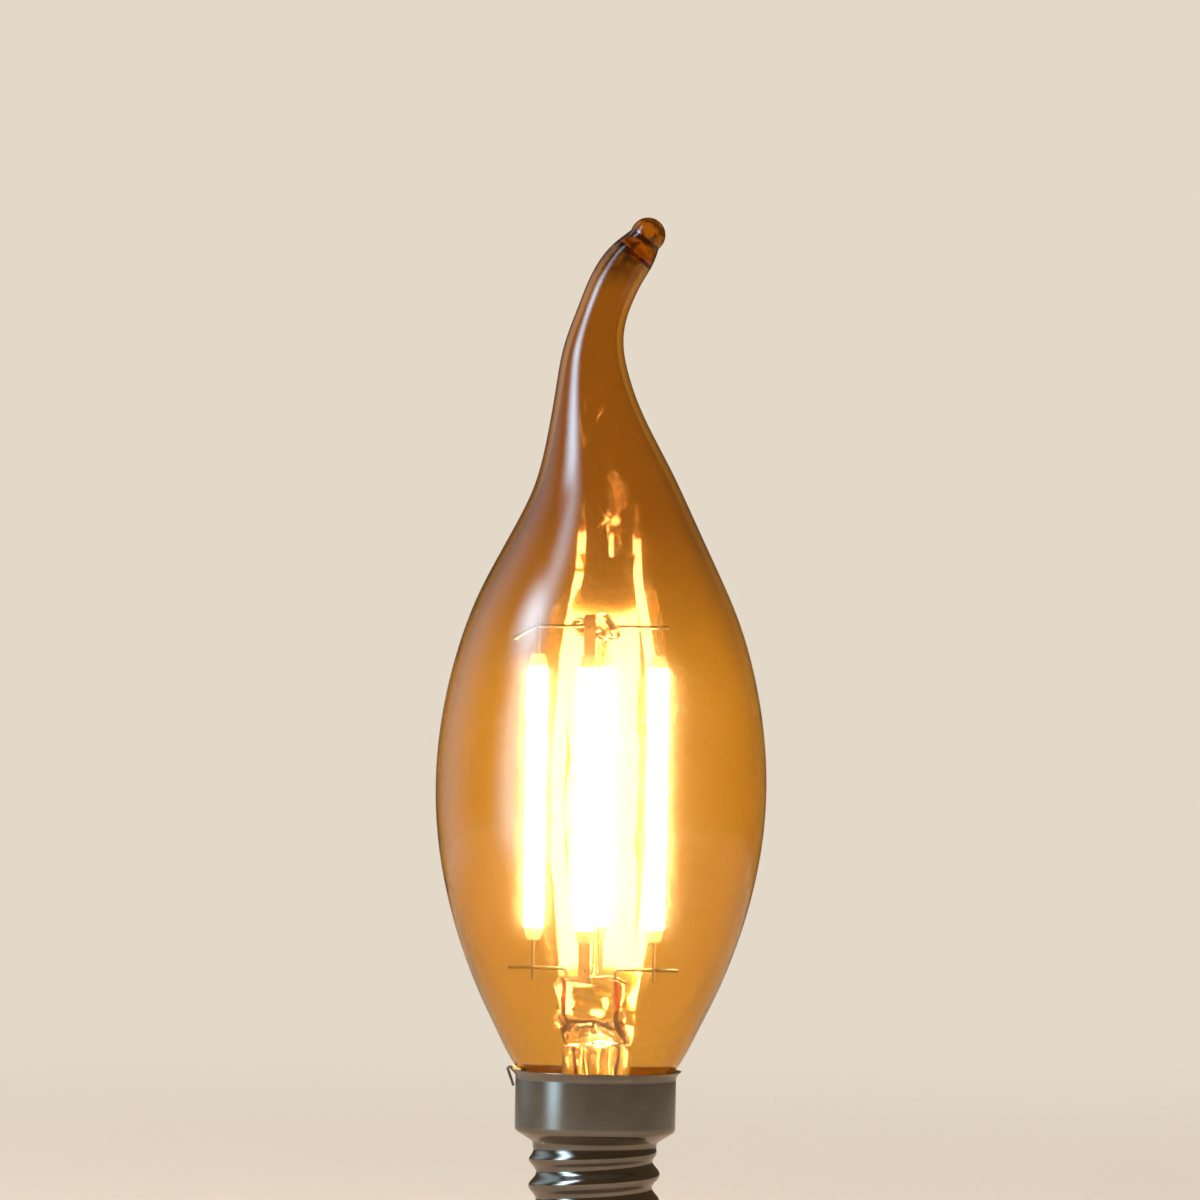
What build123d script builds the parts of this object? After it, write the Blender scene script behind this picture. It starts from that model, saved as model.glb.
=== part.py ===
from build123d import *
import os
from math import cos, hypot, pi, radians, sin

# Candle bulb with a bent flame tip, four upright filaments and a small screw cap.
# Millimetres. The origin is the centre of the contact face, +Z runs up the screw axis to the
# tip, and the tail bends towards +X.

# Screw cap, from the contact face upwards
contact_diameter = 4.8
contact_height = 0.8
contact_edge = 0.25
pin_diameter = 1.6
pin_stand = 0.5
insulator_face_diameter = 6.4
insulator_height = 2.8
insulator_floor = 1.6
shell_mouth_diameter = 10.0
crimp_height = 1.0
crimp_slope = 0.5
sheet = 0.25
thread_major = 13.89
thread_minor = 12.29
thread_pitch = 2.822
thread_turns = 4.4
thread_runout = 0.6
thread_steps = 10
skirt_diameter = 17.0
skirt_height = 5.8
shoulder_height = 1.6
shoulder_bend = 0.4
rim_flare = 0.55
rim_height = 0.6
rim_bend = 0.3

# Glass envelope
glass_wall = 0.7
neck_gap = 1.0
neck_wall_gap = 0.9
throat_height = 2.4
throat_gap = 0.37
rim_gap = 0.5
bulb_diameter = 35.0
belly_height = 29.8
bowl_power = 1.95
bowl_steps = 7
flame_height = 58.1
tip_shift = 3.55
flame_sections = [
    # share of the flame's height, share of the tip's sideways shift, share of the belly's radius
    (0.1136, 0.0, 0.975),
    (0.2238, 0.0, 0.904),
    (0.3339, 0.0, 0.783),
    (0.4406, 0.005, 0.613),
    (0.5439, -0.066, 0.4475),
    (0.6437, -0.278, 0.315),
    (0.7298, -0.434, 0.2310),
    (0.7952, -0.450, 0.186),
    (0.8571, -0.258, 0.1535),
    (0.9088, 0.040, 0.1485),
    (0.9501, 0.402, 0.1435),
    (0.9776, 0.746, 0.1286),
    (1.0, 1.0, 0.1029),
]
gob_diameter = 3.8
gob_depth = 0.6
tip_ball_diameter = 3.7
tip_ball_stand = 0.65

# Filaments: a ring of four about the press, turned a little from the front
filament_ring_radius = 6.2
right_filament_stand = 0.5
filament_ring_turn = 6.5
mount_shift = -0.75
filament_diameter = 2.1
filament_end_diameter = 1.4
filament_taper = 1.5
filament_rounding = 1.2
filament_length = 30.2
filament_foot = 13.7
terminal_width = 1.2
terminal_thickness = 0.25
terminal_length = 4.2
terminal_root = 1.0
weld_distance = 2.9

# Glass stem, exhaust tube and pillar
stem_diameter = 7.2
stem_wall = 0.65
flare_rise = 1.6
flare_bend = 1.8
flare_seat = 0.9
press_width = 7.3
press_thickness = 3.4
press_corner = 1.4
press_height = 5.0
press_drop = 0.6
shoulder_rise = 1.9
exhaust_diameter = 3.6
exhaust_wall = 0.6
exhaust_drop = 2.4
exhaust_hole_diameter = 1.5
exhaust_hole_rise = 0.7
exhaust_hole_angle = -52.0
pillar_diameter = 0.6
pillar_shift = -0.2
bead_diameter = 4.9
bead_height = 2.9
bead_rounding = 1.4

# Wires
wire_diameter = 0.4
wire_bend = 0.45
lead_spacing = 5.2
seal_length = 3.0
seal_depth = 0.8
lead_straight = 0.6
lead_overhang = 2.6
anchor_overhang = 1.0
anchor_drop = 1.35
anchor_corner = 0.85
press_anchor_depth = 0.75
press_anchor_reach = 2.7
press_anchor_half = 1.1
stem_lead_turn = 45.0
side_lead_diameter = 0.3
side_lead_bend = 0.2
side_lead_clearance = 0.04
side_lead_fold = 1.8
side_lead_fold_gap = 0.16

# Driver in the cap
board_thickness = 0.8
board_clearance = 0.2
board_tip_gap = 0.8
joint_length = 1.6
rectifier_size = (4.4, 1.6, 3.8)
rectifier_shift = -2.3
chip_size = (3.8, 1.5, 4.6)
chip_shift = 2.4
part_seat = 0.6
capacitor_diameter = 3.8
capacitor_length = 6.6
capacitor_shift = -2.0
capacitor_rounding = 0.3
resistor_diameter = 1.8
resistor_length = 4.2
resistor_shift = 2.6
side_joint_shift = -4.4
centre_joint_shift = 0.5

# Cement between the neck and the skirt
cement_foot = 0.6
cement_top_gap = 0.4
cement_clearance = 0.02
cement_bead_diameter = 0.5
cement_bead_start = 3.0
cement_bead_angle = 22.0

# Levels and radii that follow from the sizes above
shell_mouth_z = contact_height + insulator_height
thread_foot_z = shell_mouth_z + crimp_height
thread_top_z = thread_foot_z + thread_turns * thread_pitch
skirt_foot_z = thread_top_z + shoulder_height
rim_foot_z = skirt_foot_z + skirt_height
cap_height = rim_foot_z + rim_height
floor_z = shell_mouth_z + insulator_floor
pin_top_z = floor_z + pin_stand
thread_radius = (thread_major + thread_minor) / 4
thread_throw = (thread_major - thread_minor) / 4
skirt_radius = skirt_diameter / 2
rim_radius = skirt_radius + rim_flare
rim_slant = hypot(rim_flare, rim_height)
rim_inner_radius = rim_radius - sheet * rim_slant / rim_height
rim_inner_foot_z = rim_foot_z + sheet * (rim_slant - rim_height) / rim_flare
cavity_radius = thread_radius - thread_throw - sheet
neck_foot_z = skirt_foot_z + neck_gap
neck_radius = skirt_radius - sheet - neck_wall_gap
throat_foot_z = rim_foot_z - throat_height
throat_radius = skirt_radius - sheet - throat_gap
belly_radius = bulb_diameter / 2
rim_glass_radius = rim_radius - sheet - rim_gap
bar_foot_z = cap_height + filament_foot
bar_top_z = bar_foot_z + filament_length
low_wire_z = bar_foot_z - weld_distance
high_wire_z = bar_top_z + weld_distance
press_top_z = low_wire_z - press_drop
press_foot_z = press_top_z - press_height
tube_top_z = press_foot_z - shoulder_rise
stem_bore_radius = stem_diameter / 2 - stem_wall
exhaust_tip_z = neck_foot_z - exhaust_drop
stem_lead_radius = (stem_bore_radius + exhaust_diameter / 2) / 2
wire_radius = wire_diameter / 2
seal_top_z = press_top_z - seal_depth
seal_foot_z = seal_top_z - seal_length
board_foot_z = pin_top_z + board_clearance
board_top_z = exhaust_tip_z - board_tip_gap
board_width = 2 * (cavity_radius - board_clearance)
through = 4 * cap_height

upright = (Align.CENTER, Align.CENTER, Align.MIN)


def turned(points, bends):
    """Solid of revolution about Z from an outline of (radius, height) points that ends on the axis."""
    line = FilletPolyline(*points, radius=bends)
    start = line @ 0
    end = line @ 1
    closing = Polyline(end, (0, end.Y), (0, start.Y), start)
    return revolve(Plane.XZ * make_face([line, closing]), Axis.Z)


def inset(points, distance):
    """The same outline moved inwards by a distance, with mitred corners."""
    spans = list(zip(points, points[1:]))
    normals = []
    for (r0, z0), (r1, z1) in spans:
        length = hypot(r1 - r0, z1 - z0)
        normals.append((-(z1 - z0) / length, (r1 - r0) / length))
    moved = []
    for i, (r, z) in enumerate(points):
        before = normals[max(i - 1, 0)]
        after = normals[min(i, len(normals) - 1)]
        share = distance / (1 + before[0] * after[0] + before[1] * after[1])
        moved.append((r + share * (before[0] + after[0]), z + share * (before[1] + after[1])))
    return moved


def wire(points, diameter, bend):
    """Round wire along straight runs joined by tangent arcs."""
    path = FilletPolyline(*points, radius=bend)
    return sweep(Plane(path @ 0, z_dir=path % 0) * Circle(diameter / 2), path=path)


def thread_core(radius):
    """Rolled thread: a circle whose centre runs round a small helix, fading out at both ends."""
    steps = round(thread_turns * thread_steps)
    runout = thread_runout * thread_pitch
    sections = []
    for i in range(steps + 1):
        z = thread_foot_z + (thread_top_z - thread_foot_z) * i / steps
        near_end = min((z - thread_foot_z) / runout, (thread_top_z - z) / runout, 1)
        throw = thread_throw * near_end ** 2 * (3 - 2 * near_end)
        angle = 2 * pi * z / thread_pitch
        sections.append(Plane((throw * cos(angle), throw * sin(angle), z)) * Circle(radius))
    return loft(sections)


def cap_solid(depth):
    """The cap's form, filled, at a given depth below its outer surface."""
    lower = inset([
        (shell_mouth_diameter / 2, shell_mouth_z),
        (thread_radius, shell_mouth_z + crimp_slope),
        (thread_radius, thread_foot_z),
    ], depth)
    upper = inset([
        (thread_radius, thread_top_z),
        (thread_radius, thread_top_z + shoulder_bend),
        (skirt_radius, skirt_foot_z),
        (skirt_radius, rim_foot_z),
        (rim_radius, cap_height),
    ], depth)
    crimp = turned(lower, crimp_slope / 2)
    skirt = turned(upper, [shoulder_bend, shoulder_bend, rim_bend])
    return crimp + thread_core(thread_radius - depth) + skirt


def cap_shell(outside, inside):
    """Drawn sheet shell, open at its mouth and trimmed level at its rim."""
    mouth = Pos(0, 0, shell_mouth_z) * Cylinder(shell_mouth_diameter / 2 - sheet, 2 * crimp_height)
    top = Pos(0, 0, cap_height + rim_radius) * Cylinder(2 * rim_radius, 2 * rim_radius)
    return outside - inside - mouth - top


def insulator(inside):
    """Moulded insulator: a cone below the shell and a floor that fills the shell's foot."""
    cone = revolve(Plane.XZ * make_face(Polyline(
        (0, contact_height),
        (insulator_face_diameter / 2, contact_height),
        (shell_mouth_diameter / 2, shell_mouth_z),
        (0, shell_mouth_z),
        close=True,
    )), Axis.Z)
    plug = Pos(0, 0, shell_mouth_z) * Cylinder(
        shell_mouth_diameter / 2 - sheet, crimp_height, align=upright)
    below_floor = Pos(0, 0, floor_z - cap_height) * Cylinder(
        2 * rim_radius, cap_height, align=upright)
    hole = Cylinder(pin_diameter / 2, through)
    return cone + plug + (inside & below_floor) - hole


def contact_pin():
    """Centre contact: a flat-headed nail through the insulator."""
    head = Cylinder(contact_diameter / 2, contact_height, align=upright)
    head = fillet(head.edges().sort_by(Axis.Z)[0], contact_edge)
    shank = Cylinder(pin_diameter / 2, pin_top_z, align=upright)
    return head + shank


def glass_solid(depth):
    """The envelope's form, filled, at a given depth below its outer surface."""
    sections = [(0, throat_foot_z, neck_radius), (0, rim_foot_z, throat_radius)]
    for i in range(bowl_steps):
        share = 1 - i / bowl_steps
        radius = belly_radius - (belly_radius - rim_glass_radius) * share ** bowl_power
        sections.append((0, cap_height + belly_height * (1 - share), radius))
    belly_z = cap_height + belly_height
    sections.append((0, belly_z, belly_radius))
    for rise, aside, share in flame_sections:
        sections.append((tip_shift * aside, belly_z + flame_height * rise, belly_radius * share))
    spine = Spline(*[(shift, 0, z) for shift, z, radius in sections])
    discs = []
    for shift, z, radius in sections:
        centre = Vector(shift, 0, z)
        across = Plane(centre, x_dir=(0, 1, 0), z_dir=spine.tangent_at(centre))
        discs.append(across * Circle(radius - depth))
    neck_height = throat_foot_z - neck_foot_z
    neck = Pos(0, 0, neck_foot_z) * Cylinder(neck_radius - depth, neck_height, align=upright)
    return neck + loft(discs), spine


def glass_envelope():
    """Blown envelope: hollow bowl and tail, a gob of glass that shuts the tail, and a ball tip."""
    filled, spine = glass_solid(0)
    hollow, _ = glass_solid(glass_wall)
    end = spine @ 1
    along = spine % 1
    gob = Pos(*(end - along * gob_depth)) * Sphere(gob_diameter / 2)
    ball = Pos(*(end + along * tip_ball_stand)) * Sphere(tip_ball_diameter / 2)
    cap_end = Plane(end, z_dir=along) * Cylinder(gob_diameter, gob_diameter)
    return filled - (hollow - gob - cap_end) + ball


def glass_stem(glass, passing_wires):
    """Stem: a flare sealed in the neck, a tube, and a flat press with a hole in its shoulder."""
    flare_radius = neck_radius + flare_seat
    slope = flare_rise / (neck_radius - stem_diameter / 2)
    seat_z = neck_foot_z + flare_seat
    outline = [
        (flare_radius, seat_z - slope * flare_seat),
        (stem_diameter / 2, seat_z + flare_rise),
        (stem_diameter / 2, tube_top_z),
    ]
    tube = turned(outline, flare_bend) - turned(inset(outline, stem_wall), flare_bend + stem_wall)
    tube &= Cylinder(neck_radius - glass_wall / 2, through)
    ceiling = Pos(0, 0, tube_top_z) * Circle(stem_diameter / 2)
    flat = RectangleRounded(press_width, press_thickness, press_corner)
    flat = Pos(mount_shift, 0, press_foot_z) * flat
    press = loft([ceiling, flat]) + extrude(flat, press_height)
    press = fillet(press.edges().group_by(Axis.Z)[-1], press_corner / 2)
    rise = Pos(0, 0, tube_top_z) * Cylinder(
        exhaust_diameter / 2 - exhaust_wall, exhaust_hole_rise + exhaust_hole_diameter,
        align=upright)
    port_z = tube_top_z + exhaust_hole_rise + exhaust_hole_diameter / 2
    port = Cylinder(exhaust_hole_diameter / 2, press_width, align=upright)
    port = Pos(0, 0, port_z) * Rot(0, 0, exhaust_hole_angle) * Rot(0, 90, 0) * port
    stem = tube + press - rise - port - glass
    for passing in passing_wires:
        stem -= passing
    return stem


def exhaust_tube():
    """Narrow tube inside the stem, melted shut at its lower end."""
    radius = exhaust_diameter / 2
    bore = radius - exhaust_wall
    length = tube_top_z - exhaust_tip_z
    outside = Sphere(radius) + Cylinder(radius, length - radius, align=upright)
    inside = Sphere(bore) + Cylinder(bore, length, align=upright)
    return Pos(0, 0, exhaust_tip_z + radius) * (outside - inside)


def glass_pillar(passing_wires):
    """Thin rod on the press with a flattened bead fused on top, which holds the anchor wires."""
    rod = Pos(pillar_shift, 0, press_top_z) * Cylinder(
        pillar_diameter / 2, high_wire_z - press_top_z, align=upright)
    section = RectangleRounded(bead_diameter, bead_height, bead_rounding)
    section &= Pos(bead_diameter / 2, 0) * Rectangle(bead_diameter, bead_height)
    bead = revolve(Plane.XZ * section, Axis.Z)
    pillar = rod + Pos(mount_shift, 0, high_wire_z) * bead
    for passing in passing_wires:
        pillar -= passing
    return pillar


def ring_point(angle, radius, z):
    """A point at an angle and radius about the middle of the press."""
    return (mount_shift + radius * cos(radians(angle)), radius * sin(radians(angle)), z)


def corner_point(first, second, z):
    """The place inside the bead where an anchor wire turns from one filament towards the next."""
    x = anchor_corner * (cos(radians(first)) + cos(radians(second)))
    y = anchor_corner * (sin(radians(first)) + sin(radians(second)))
    return (mount_shift + x, y, z)


def filament_bar(angle, radius, terminals):
    """Luminous bar with tapered ends, moulded round the roots of its terminals."""
    bar = turned([
        (filament_end_diameter / 2, 0),
        (filament_diameter / 2, filament_taper),
        (filament_diameter / 2, filament_length - filament_taper),
        (filament_end_diameter / 2, filament_length),
    ], filament_rounding)
    bar = Pos(*ring_point(angle, radius, bar_foot_z)) * bar
    for terminal in terminals:
        bar -= terminal
    return bar


def terminal_strip(angle, radius, foot_z, wires):
    """Flat metal terminal that faces outwards, pierced where its wire is welded through it."""
    strip = Box(
        terminal_thickness, terminal_width, terminal_length + terminal_root,
        align=upright)
    strip = Pos(*ring_point(angle, radius, foot_z)) * Rot(0, 0, angle) * strip
    for passing in wires:
        strip -= passing
    return strip


def outer_lead(side, x):
    """Lead from the press down the stem to the driver board, on one side of the exhaust tube."""
    turn = radians(270 + side * (90 - stem_lead_turn))
    board_y = -board_thickness / 2 - wire_radius
    joint_x = stem_lead_radius * cos(turn)
    return wire([
        (x, 0, seal_foot_z),
        (x, 0, seal_foot_z - lead_straight),
        (side * stem_lead_radius, 0, tube_top_z - stem_wall),
        (joint_x, stem_lead_radius * sin(turn), neck_foot_z + flare_seat),
        (joint_x, board_y, board_top_z),
        (joint_x, board_y, board_top_z - joint_length),
    ], wire_diameter, wire_bend)


def side_lead():
    """Thin lead from the board, up between neck and skirt, dented into the rim and folded over it."""
    radius = side_lead_diameter / 2
    stand = radius + side_lead_clearance
    wall_x = skirt_radius - sheet - stand
    board_y = -board_thickness / 2 - radius
    return wire([
        (side_joint_shift, board_y, board_top_z - joint_length),
        (side_joint_shift, board_y, board_top_z),
        (-wall_x, 0, neck_foot_z - neck_gap / 4),
        (-wall_x, 0, rim_foot_z - side_lead_bend),
        (-(rim_radius - sheet - stand), 0, cap_height + stand),
        (-(rim_radius + stand + side_lead_fold_gap), 0, cap_height + stand),
        (-(skirt_radius + stand), 0, cap_height - side_lead_fold),
    ], side_lead_diameter, side_lead_bend)


def basing_cement():
    """Cement ring between neck and skirt, with a bead squeezed out beside the side lead."""
    foot_z = neck_foot_z + cement_foot
    top_z = rim_foot_z - cement_top_gap
    wall_side = skirt_radius - sheet
    neck_side = neck_radius + cement_clearance
    throat_side = throat_radius + cement_clearance
    top_side = throat_side - (throat_side - neck_side) * cement_top_gap / throat_height
    bead_radius = cement_bead_diameter / 2
    bead_centre = ((rim_inner_radius + rim_radius) / 2, cap_height + bead_radius)
    ring = Polyline(
        (neck_side, foot_z), (wall_side, foot_z), (wall_side, top_z), (top_side, top_z),
        (neck_side, throat_foot_z), close=True)
    run = Polyline(
        (top_side, top_z), (wall_side, top_z), (wall_side, rim_inner_foot_z),
        (rim_inner_radius - cement_clearance, cap_height), bead_centre,
        (rim_glass_radius + cement_clearance, cap_height), (throat_side, rim_foot_z), close=True)
    groove_width = side_lead_diameter + 2 * side_lead_clearance
    groove = Pos(-wall_side, 0, 0) * Box(2 * (groove_width + side_lead_clearance), groove_width, through)
    squeezed = Plane.XZ * (make_face(run) + Pos(*bead_centre) * Circle(bead_radius))
    place = Rot(0, 0, 180 + cement_bead_start)
    cement = revolve(Plane.XZ * make_face(ring), Axis.Z) - groove
    return cement + place * revolve(squeezed, Axis.Z, cement_bead_angle)


def driver_parts():
    """Driver board on edge in the cap, with its four components seated on its two faces."""
    face = board_thickness / 2
    seat_z = board_foot_z + part_seat
    board = Box(board_width, board_thickness, board_top_z - board_foot_z, align=upright)
    rectifier = Box(*rectifier_size, align=upright)
    chip = Box(*chip_size, align=upright)
    can = Cylinder(capacitor_diameter / 2, capacitor_length, align=upright)
    can = fillet(can.edges().filter_by(GeomType.CIRCLE), capacitor_rounding)
    body = Cylinder(resistor_diameter / 2, resistor_length, align=upright)
    body = fillet(body.edges().filter_by(GeomType.CIRCLE), capacitor_rounding)
    return {
        "driver_board": Pos(0, 0, board_foot_z) * board,
        "bridge_rectifier": Pos(rectifier_shift, -face - rectifier_size[1] / 2, seat_z) * rectifier,
        "driver_chip": Pos(chip_shift, face + chip_size[1] / 2, seat_z) * chip,
        "smoothing_capacitor": Pos(capacitor_shift, face + capacitor_diameter / 2, seat_z) * can,
        "fuse_resistor": Pos(resistor_shift, -face - resistor_diameter / 2, seat_z) * body,
    }


def build():
    """Every piece of the bulb, by name."""
    angles = {
        "front": 270 - filament_ring_turn,
        "right": 360 - filament_ring_turn,
        "back": 90 - filament_ring_turn,
        "left": 180 - filament_ring_turn,
    }
    rings = dict.fromkeys(angles, filament_ring_radius)
    rings["right"] += right_filament_stand
    lead_x = {"left": mount_shift - lead_spacing / 2, "right": mount_shift + lead_spacing / 2}
    side = {"left": -1, "right": 1}
    pieces = {}

    for name, x in lead_x.items():
        pieces[f"inner_lead_{name}"] = wire([
            (x, 0, seal_top_z),
            (x, 0, low_wire_z),
            ring_point(angles[name], rings[name] + lead_overhang, low_wire_z),
        ], wire_diameter, wire_bend)
        pieces[f"seal_wire_{name}"] = Pos(x, 0, seal_foot_z) * Cylinder(
            wire_radius, seal_length, align=upright)
        pieces[f"outer_lead_{name}"] = outer_lead(side[name], x)

    reach = filament_ring_radius + anchor_overhang
    pieces["top_anchor_left"] = wire([
        ring_point(angles["left"], rings["left"] + lead_overhang, high_wire_z - anchor_drop),
        ring_point(angles["left"], rings["left"] + terminal_thickness, high_wire_z),
        corner_point(angles["left"], angles["front"], high_wire_z),
        ring_point(angles["front"], reach, high_wire_z),
    ], wire_diameter, wire_bend)
    pieces["top_anchor_right"] = wire([
        ring_point(angles["right"], rings["right"] + anchor_overhang, high_wire_z),
        corner_point(angles["right"], angles["back"], high_wire_z),
        ring_point(angles["back"], reach, high_wire_z),
    ], wire_diameter, wire_bend)
    anchor_z = press_top_z - press_anchor_depth
    pieces["press_anchor"] = wire([
        ring_point(angles["front"], reach, low_wire_z),
        ring_point(angles["front"], press_anchor_reach, low_wire_z),
        ring_point(angles["front"], press_anchor_half, anchor_z),
        ring_point(angles["back"], press_anchor_half, anchor_z),
        ring_point(angles["back"], press_anchor_reach, low_wire_z),
        ring_point(angles["back"], reach, low_wire_z),
    ], wire_diameter, wire_bend)

    wires = list(pieces.values())
    for name, angle in angles.items():
        lower = terminal_strip(angle, rings[name], bar_foot_z - terminal_length, wires)
        upper = terminal_strip(angle, rings[name], bar_top_z - terminal_root, wires)
        pieces[f"terminal_{name}_lower"] = lower
        pieces[f"terminal_{name}_upper"] = upper
        pieces[f"filament_{name}"] = filament_bar(angle, rings[name], [lower, upper])

    pieces["glass_envelope"] = glass_envelope()
    pieces["glass_stem"] = glass_stem(pieces["glass_envelope"], wires)
    pieces["exhaust_tube"] = exhaust_tube()
    pieces["glass_pillar"] = glass_pillar(wires)

    outside = cap_solid(0)
    inside = cap_solid(sheet)
    pieces["side_lead"] = side_lead()
    pieces["cap_shell"] = cap_shell(outside, inside) - pieces["side_lead"]
    pieces["cap_insulator"] = insulator(inside)
    pieces["contact_pin"] = contact_pin()
    pieces["basing_cement"] = basing_cement()
    pieces.update(driver_parts())
    centre_y = -board_thickness / 2 - wire_radius
    pieces["centre_lead"] = Pos(centre_joint_shift, centre_y, pin_top_z) * Cylinder(
        wire_radius, board_foot_z + joint_length - pin_top_z, align=upright)
    return pieces


os.makedirs("parts", exist_ok=True)
for piece_name, piece in build().items():
    export_step(piece, f"parts/{piece_name}.step")
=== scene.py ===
"""Looks of a candle bulb: blown amber envelope, glass mount, lit filaments and screw cap."""

import logging
import math
from collections.abc import Sequence
from dataclasses import dataclass
from enum import Enum

import bpy
import numpy as np
from mathutils import Matrix, Vector


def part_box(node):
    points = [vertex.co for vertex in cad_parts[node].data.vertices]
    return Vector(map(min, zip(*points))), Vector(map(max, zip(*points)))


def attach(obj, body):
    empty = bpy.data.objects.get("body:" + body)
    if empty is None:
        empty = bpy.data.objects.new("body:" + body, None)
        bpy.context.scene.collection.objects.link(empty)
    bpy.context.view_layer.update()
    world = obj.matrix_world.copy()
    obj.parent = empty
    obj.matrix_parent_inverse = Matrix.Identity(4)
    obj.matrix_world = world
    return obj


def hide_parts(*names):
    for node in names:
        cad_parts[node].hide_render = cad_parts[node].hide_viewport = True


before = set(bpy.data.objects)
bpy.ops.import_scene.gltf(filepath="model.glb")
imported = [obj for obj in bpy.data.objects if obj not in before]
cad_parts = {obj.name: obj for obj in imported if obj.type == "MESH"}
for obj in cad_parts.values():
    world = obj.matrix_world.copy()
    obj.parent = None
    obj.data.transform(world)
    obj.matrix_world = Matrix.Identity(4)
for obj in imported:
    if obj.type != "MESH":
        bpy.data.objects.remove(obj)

MM = 0.001
TURN = 2 * math.pi
LOG = logging.getLogger("candle_bulb")
Socket = bpy.types.NodeSocket
Tree = bpy.types.NodeTree

# In millimetres: the cap's rim, the foot of the rim's flare, and the radius of the ring beside a pole
CAP_RIM = 25.017
RIM_FOOT = 24.417
POLE = 0.02


# Shapes: surfaces worked out as whole arrays, in millimetres


@dataclass
class Surface:
    """Points in millimetres and the faces between them."""

    points: np.ndarray
    faces: list[list[int]]


def skin(rings: np.ndarray, start: np.ndarray | None = None, end: np.ndarray | None = None,
         loop: bool = False) -> Surface:
    """Quads between each ring and the next, with a fan of triangles to each pole.

    Args:
        rings: points as (ring, place round the ring, xyz).
        start: pole that closes the first ring.
        end: pole that closes the last ring.
        loop: joins the last ring back to the first.

    Returns:
        The surface, its faces turned outwards by the sign of the volume that they hold.
    """
    count, around, _ = rings.shape
    points = rings.reshape(-1, 3)
    here = np.arange(around)
    there = np.roll(here, -1)
    rows = np.arange(count if loop else count - 1)[:, None]
    low = rows * around
    high = (rows + 1) % count * around
    quads = np.stack([low + here, low + there, high + there, high + here], axis=-1).reshape(-1, 4)
    fans = [np.empty((0, 3), int)]
    for pole, row, first, second in ((start, 0, there, here), (end, count - 1, here, there)):
        if pole is not None:
            tip = np.full(around, len(points))
            fans.append(np.stack([row * around + first, row * around + second, tip], axis=-1))
            points = np.vstack([points, pole])
    fan = np.vstack(fans)
    split = np.vstack([quads[:, :3], quads[:, [0, 2, 3]], fan])
    a, b, c = points[split[:, 0]], points[split[:, 1]], points[split[:, 2]]
    turn = -1 if np.einsum("ij,ij->", a, np.cross(b, c)) < 0 else 1
    return Surface(points, quads[:, ::turn].tolist() + fan[:, ::turn].tolist())


def joined(*surfaces: Surface) -> Surface:
    """Several closed surfaces as one."""
    points = np.vstack([s.points for s in surfaces])
    starts = np.cumsum([0] + [len(s.points) for s in surfaces])
    faces = [[i + start for i in face] for s, start in zip(surfaces, starts) for face in s.faces]
    return Surface(points, faces)


def spline(knots: np.ndarray, values: np.ndarray, at: np.ndarray) -> np.ndarray:
    """Natural cubic spline: cubics that share value, slope and curvature at each knot.

    Args:
        knots: rising places, one for each row of values.
        values: rows to pass through.
        at: places to read.

    Returns:
        One row for each place.
    """
    count = len(knots)
    gaps = np.diff(knots)
    rises = np.diff(values, axis=0) / gaps[:, None]
    inner = np.arange(1, count - 1)
    system = np.eye(count)
    system[inner, inner - 1] = gaps[:-1]
    system[inner, inner] = 2 * (gaps[:-1] + gaps[1:])
    system[inner, inner + 1] = gaps[1:]
    wanted = np.zeros_like(values)
    wanted[1:-1] = 6 * np.diff(rises, axis=0)
    bend = np.linalg.solve(system, wanted)
    k = np.clip(np.searchsorted(knots, at) - 1, 0, count - 2)
    gap = gaps[k][:, None]
    past = (at - knots[k])[:, None]
    left = gap - past
    return ((bend[k] * left**3 + bend[k + 1] * past**3) / (6 * gap)
            + (values[k] / gap - bend[k] * gap / 6) * left
            + (values[k + 1] / gap - bend[k + 1] * gap / 6) * past)


def rounded(points: Sequence[tuple[float, ...]], bends: Sequence[float], steps: int = 7) -> np.ndarray:
    """Polyline whose corners are parabolic arcs that start and end a bend's length from the corner.

    Args:
        points: ends and corners, in order.
        bends: one length for each corner.
        steps: points on each arc.

    Returns:
        Points along the line.
    """
    p = np.array(points, float)
    reach = np.array(bends, float)[:, None]
    corner = p[1:-1]
    back = p[:-2] - corner
    on = p[2:] - corner
    before = corner + back / np.linalg.norm(back, axis=1, keepdims=True) * reach
    after = corner + on / np.linalg.norm(on, axis=1, keepdims=True) * reach
    t = np.linspace(0, 1, steps)[:, None]
    arcs = (1 - t) ** 2 * before[:, None] + 2 * t * (1 - t) * corner[:, None] + t**2 * after[:, None]
    return np.vstack([p[:1], arcs.reshape(-1, p.shape[1]), p[-1:]])


def spaced(path: np.ndarray, step: float) -> np.ndarray:
    """The same line with points a step apart by length."""
    lengths = np.concatenate([[0], np.cumsum(np.linalg.norm(np.diff(path, axis=0), axis=1))])
    places = np.linspace(0, lengths[-1], max(int(lengths[-1] / step), 2) + 1)
    return np.stack([np.interp(places, lengths, column) for column in path.T], axis=-1)


def unit(vectors: np.ndarray) -> np.ndarray:
    """Vectors of the same direction and length one."""
    return vectors / np.linalg.norm(vectors, axis=-1, keepdims=True)


def turned(profile: np.ndarray, around: int) -> np.ndarray:
    """Rings about Z: the profile's radius times cosine and sine of the angle, at its height."""
    angle = np.linspace(0, TURN, around, endpoint=False)
    circle = np.stack([np.cos(angle), np.sin(angle), np.zeros(around)], axis=-1)
    return profile[:, 0, None, None] * circle + profile[:, 1, None, None] * np.array([0, 0, 1])


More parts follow.
